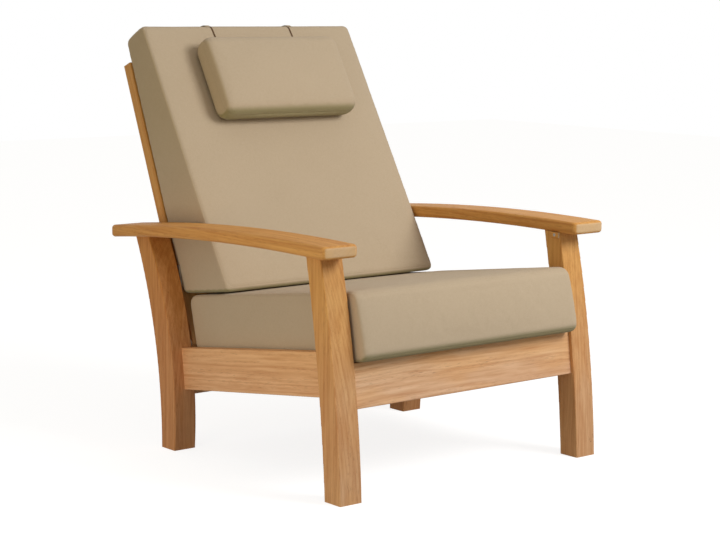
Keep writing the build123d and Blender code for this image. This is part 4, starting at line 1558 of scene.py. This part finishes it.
@dataclass
class Upholstery:
    """The seat cushion, the back cushion, the head pillow and its straps.

    Args:
        cloth: The finish of the covers.
        tape: The finish of the straps.
        under_back: Where the seat cushion runs under the back cushion, along the seat.
        quadrant_top: How far up the back the quadrants pass the cushion's sides.
        pillow_rest: Where the pillow lies on the back cushion, along the back.
        pillow_half: Half the width of that place.
        pillow_origin: The origin of the pillow's own axes, in the back's.
        front_way: The direction up the back cushion's front: out of the back's plane, and along it.
    """

    cloth: ClothFinish = ClothFinish()
    tape: StrapFinish = StrapFinish()
    under_back: float = 0.41
    quadrant_top: float = 0.38
    pillow_rest: tuple[float, float] = (0.515, 0.70)
    pillow_half: float = 0.185
    pillow_origin: Triple = (0.0, 0.0703170, -0.2034)
    front_way: tuple[float, float] = (0.1399162, 0.9901633)

    def seat(self) -> Cushion:
        """The seat cushion, which rests on the deck and runs under the back cushion."""
        seams = [
            SeamLoop(half=0.3245, ends=(-0.025, 0.6178), level=(0.155, 0.150), facing=1),
            SeamLoop(half=0.3245, ends=(-0.045, 0.5988), level=(0.0004, 0.0004), facing=-1),
        ]

        def held(point: Triple, facing: Triple) -> Rest:
            """The underside rests on the slats, and the top's rear is under the back cushion."""
            under_back = facing[2] > 0.5 and point[1] > self.under_back
            return Rest.CARRIED if under_back or facing[2] < -0.85 or facing[1] > 0.6 else Rest.FREE

        return Cushion("seat_cushion", "frame", SEAT, seams, held, seed=3.0)

    def back(self) -> Cushion:
        """The back cushion, flat on the frame behind it and on the seat cushion."""
        seams = [
            SeamLoop(half=0.322, ends=(0.081, 0.778), level=(-0.2034, -0.1034), facing=-1),
            SeamLoop(half=0.322, ends=(0.1185, 0.770), level=(-0.0154, -0.0154), facing=1),
        ]
        low, high = self.pillow_rest

        def held(point: Triple, facing: Triple) -> Rest:
            """The rear lies on the frame, the foot on the seat, and the pillow and quadrants touch the rest.

            Args:
                point: The place in the back's axes.
                facing: The direction that the cover looks in there.

            Returns:
                How it is held.
            """
            on_frame = facing[2] > 0.7 or facing[1] < -0.6
            by_quadrant = abs(facing[0]) > 0.55 and point[1] < self.quadrant_top
            under_pillow = facing[2] < -0.5 and low < point[1] < high and abs(point[0]) < self.pillow_half
            return Rest.CARRIED if on_frame or by_quadrant or under_pillow else Rest.FREE

        return Cushion("back_cushion", "back", BACK, seams, held, seed=11.0)

    def pillow(self) -> Cushion:
        """The head pillow, whose rear lies on the back cushion."""
        lean = BACK_LEAN + math.degrees(math.atan2(*self.front_way))
        axes = Axes(BACK.place(*self.pillow_origin), tipped(lean - 90), tipped(lean))
        loop = SeamLoop(
            half=0.201, ends=(0.4347, 0.6477), level=(-0.0481, -0.0481), facing=-1, inset=0.009, corner=0.028
        )

        def held(point: Triple, facing: Triple) -> Rest:
            """Only the rear of the pillow rests on anything."""
            return Rest.CARRIED if facing[2] > 0.8 else Rest.FREE

        filling = {"voxel": 0.005, "fill": 0.85, "sag_share": 0.45, "seed": 19.0}
        return Cushion("head_pillow", "back", axes, [loop], held, **filling)

    def build(self) -> None:
        """Makes all the soft pieces, with one run of the simulation for the three cushions."""
        cushions = [self.seat(), self.back(), self.pillow()]
        for cushion in cushions:
            cushion.start()
        for cushion in cushions:
            cushion.blow_up()
        for step in range(1, SIMULATION_STEPS + 1):
            bpy.context.scene.frame_set(step)
        for cushion in cushions:
            cushion.settle()
        bpy.context.scene.frame_set(1)
        weave = self.cloth.weave_group()
        cloths = []
        for cushion in cushions:
            title = "tan cloth " + cushion.node.replace("_", " ")
            cloths.append(self.cloth.material(weave, title, cushion.axes))
            cushion.dress(cloths[-1])
        HeadrestStraps().build(cushions[1], self.tape.material(), cloths[1])


@dataclass
class Viewpoint:
    """The photograph's camera.

    Args:
        place: Where it stands.
        azimuth: The direction it stands in, in degrees from straight in front.
        elevation: How far it looks down.
        roll: How far it is turned about its own axis.
        lens: Its focal length in millimetres.
        sensor: Its sensor's width in millimetres.
    """

    place: Triple = (-2.8350, -3.507296, 1.0734)
    azimuth: float = -39.435
    elevation: float = 8.100
    roll: float = 0.532
    lens: float = 93.945
    sensor: float = 36.0

    def build(self) -> None:
        """Creates the camera and makes it the scene's own."""
        a, e, r = (math.radians(v) for v in (self.azimuth, self.elevation, self.roll))
        back = Vector((math.sin(a) * math.cos(e), -math.cos(a) * math.cos(e), math.sin(e)))
        level = Vector((math.cos(a), math.sin(a), 0))
        upright = back.cross(level)
        right = level * math.cos(r) + upright * math.sin(r)
        up = upright * math.cos(r) - level * math.sin(r)
        data = bpy.data.cameras.new("viewpoint")
        data.sensor_fit = "HORIZONTAL"
        data.sensor_width = self.sensor
        data.lens = self.lens
        data.clip_end = 100.0
        camera = bpy.data.objects.new("viewpoint", data)
        turn = Matrix((right, up, back)).transposed().to_4x4()
        camera.matrix_world = Matrix.Translation(self.place) @ turn
        bpy.context.scene.collection.objects.link(camera)
        bpy.context.scene.camera = camera


@dataclass(frozen=True)
class Lamp:
    """A large soft lamp.

    Args:
        title: Its name.
        comes_from: The direction that its light comes from.
        distance: How far it is from the chair's middle.
        power: Its power in watts.
        size: Its diameter.
        colour: The colour of its light.
    """

    title: str
    comes_from: Triple
    distance: float
    power: float
    size: float
    colour: Triple


@dataclass
class Studio:
    """A plain white floor, a key lamp from the sitter's left and a warm fill from the other side.

    Args:
        floor_half: Half the floor's width.
        sky: How bright the surroundings light the chair.
        sky_colour: The colour of that light.
        floor_bounce: How much light the floor throws back at the chair.
        floor_shade: How much of the lamps' light the floor shows, and so how strong its shadow looks.
        floor_glow: What it shows besides.
        lamps: The lamps.
        target: What the lamps shine at.
    """

    floor_half: float = 9.0
    sky: float = 0.44
    sky_colour: Triple = (1.0, 0.955, 0.88)
    floor_bounce: float = 0.34
    floor_shade: float = 0.34
    floor_glow: float = 0.84
    lamps: tuple[Lamp, ...] = (
        Lamp("key", (0.35, -0.75, 0.53), 3.5, 74.0, 1.6, (0.98, 0.99, 1.0)),
        Lamp("fill", (-1.0, -0.22, -0.05), 1.7, 6.2, 0.8, (1.0, 0.93, 0.78)),
    )
    target: Triple = (0.0, 0.0, 0.45)

    def world(self) -> None:
        """White surroundings that light the chair evenly and look white to the camera and in reflections."""
        world = bpy.data.worlds.new("studio")
        world.use_nodes = True
        bpy.context.scene.world = world
        g = Graph(world.node_tree)
        background = world.node_tree.nodes["Background"]
        seen = g.seen()
        g.feed(background.inputs["Color"], g.blend(seen, self.sky_colour, WHITE))
        g.feed(background.inputs["Strength"], g.mix(seen, self.sky, 1.0))

    def floor(self) -> None:
        """A white floor that keeps a soft shadow."""
        shape = bmesh.new()
        bmesh.ops.create_grid(shape, x_segments=2, y_segments=2, size=self.floor_half)
        floor = bpy.data.objects.new("floor", mesh_of(shape, "floor"))
        bpy.context.scene.collection.objects.link(floor)
        material = bpy.data.materials.new("white floor")
        material.use_nodes = True
        g = Graph(material.node_tree)
        g.tree.nodes.remove(g.tree.nodes["Principled BSDF"])
        plain = g.add("ShaderNodeBsdfDiffuse", {"Color": (self.floor_bounce,) * 3})
        faint = g.add("ShaderNodeBsdfDiffuse", {"Color": (self.floor_shade,) * 3})
        glow = g.add("ShaderNodeEmission", {"Color": WHITE, "Strength": self.floor_glow})
        bright = g.add("ShaderNodeAddShader", {0: faint.outputs[0], 1: glow.outputs[0]})
        both = g.add("ShaderNodeMixShader", {0: g.seen(), 1: plain.outputs[0], 2: bright.outputs[0]})
        g.feed(g.tree.nodes["Material Output"].inputs["Surface"], both.outputs[0])
        floor.data.materials.append(material)

    def lamp(self, lamp: Lamp) -> None:
        """Puts up a lamp that shines at the chair.

        Args:
            lamp: The lamp.
        """
        data = bpy.data.lights.new(lamp.title, "AREA")
        data.shape = "DISK"
        data.size = lamp.size
        data.energy = lamp.power
        data.color = lamp.colour
        piece = bpy.data.objects.new(lamp.title, data)
        direction = Vector(lamp.comes_from).normalized()
        piece.location = Vector(self.target) + direction * lamp.distance
        piece.rotation_euler = direction.to_track_quat("Z", "Y").to_euler()
        bpy.context.scene.collection.objects.link(piece)

    def build(self) -> None:
        """Makes the world, the floor and the lamps."""
        self.world()
        self.floor()
        for lamp in self.lamps:
            self.lamp(lamp)
        bpy.context.scene.view_settings.view_transform = "Standard"


def main() -> None:
    """Builds the viewpoint, the studio and the chair's dress, in order."""
    logging.basicConfig(level=logging.INFO, format="%(name)s: %(message)s")
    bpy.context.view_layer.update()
    Viewpoint().build()
    Studio().build()
    Hardware().dress()
    Woodwork().dress()
    Upholstery().build()


if __name__ == "__main__":
    main()
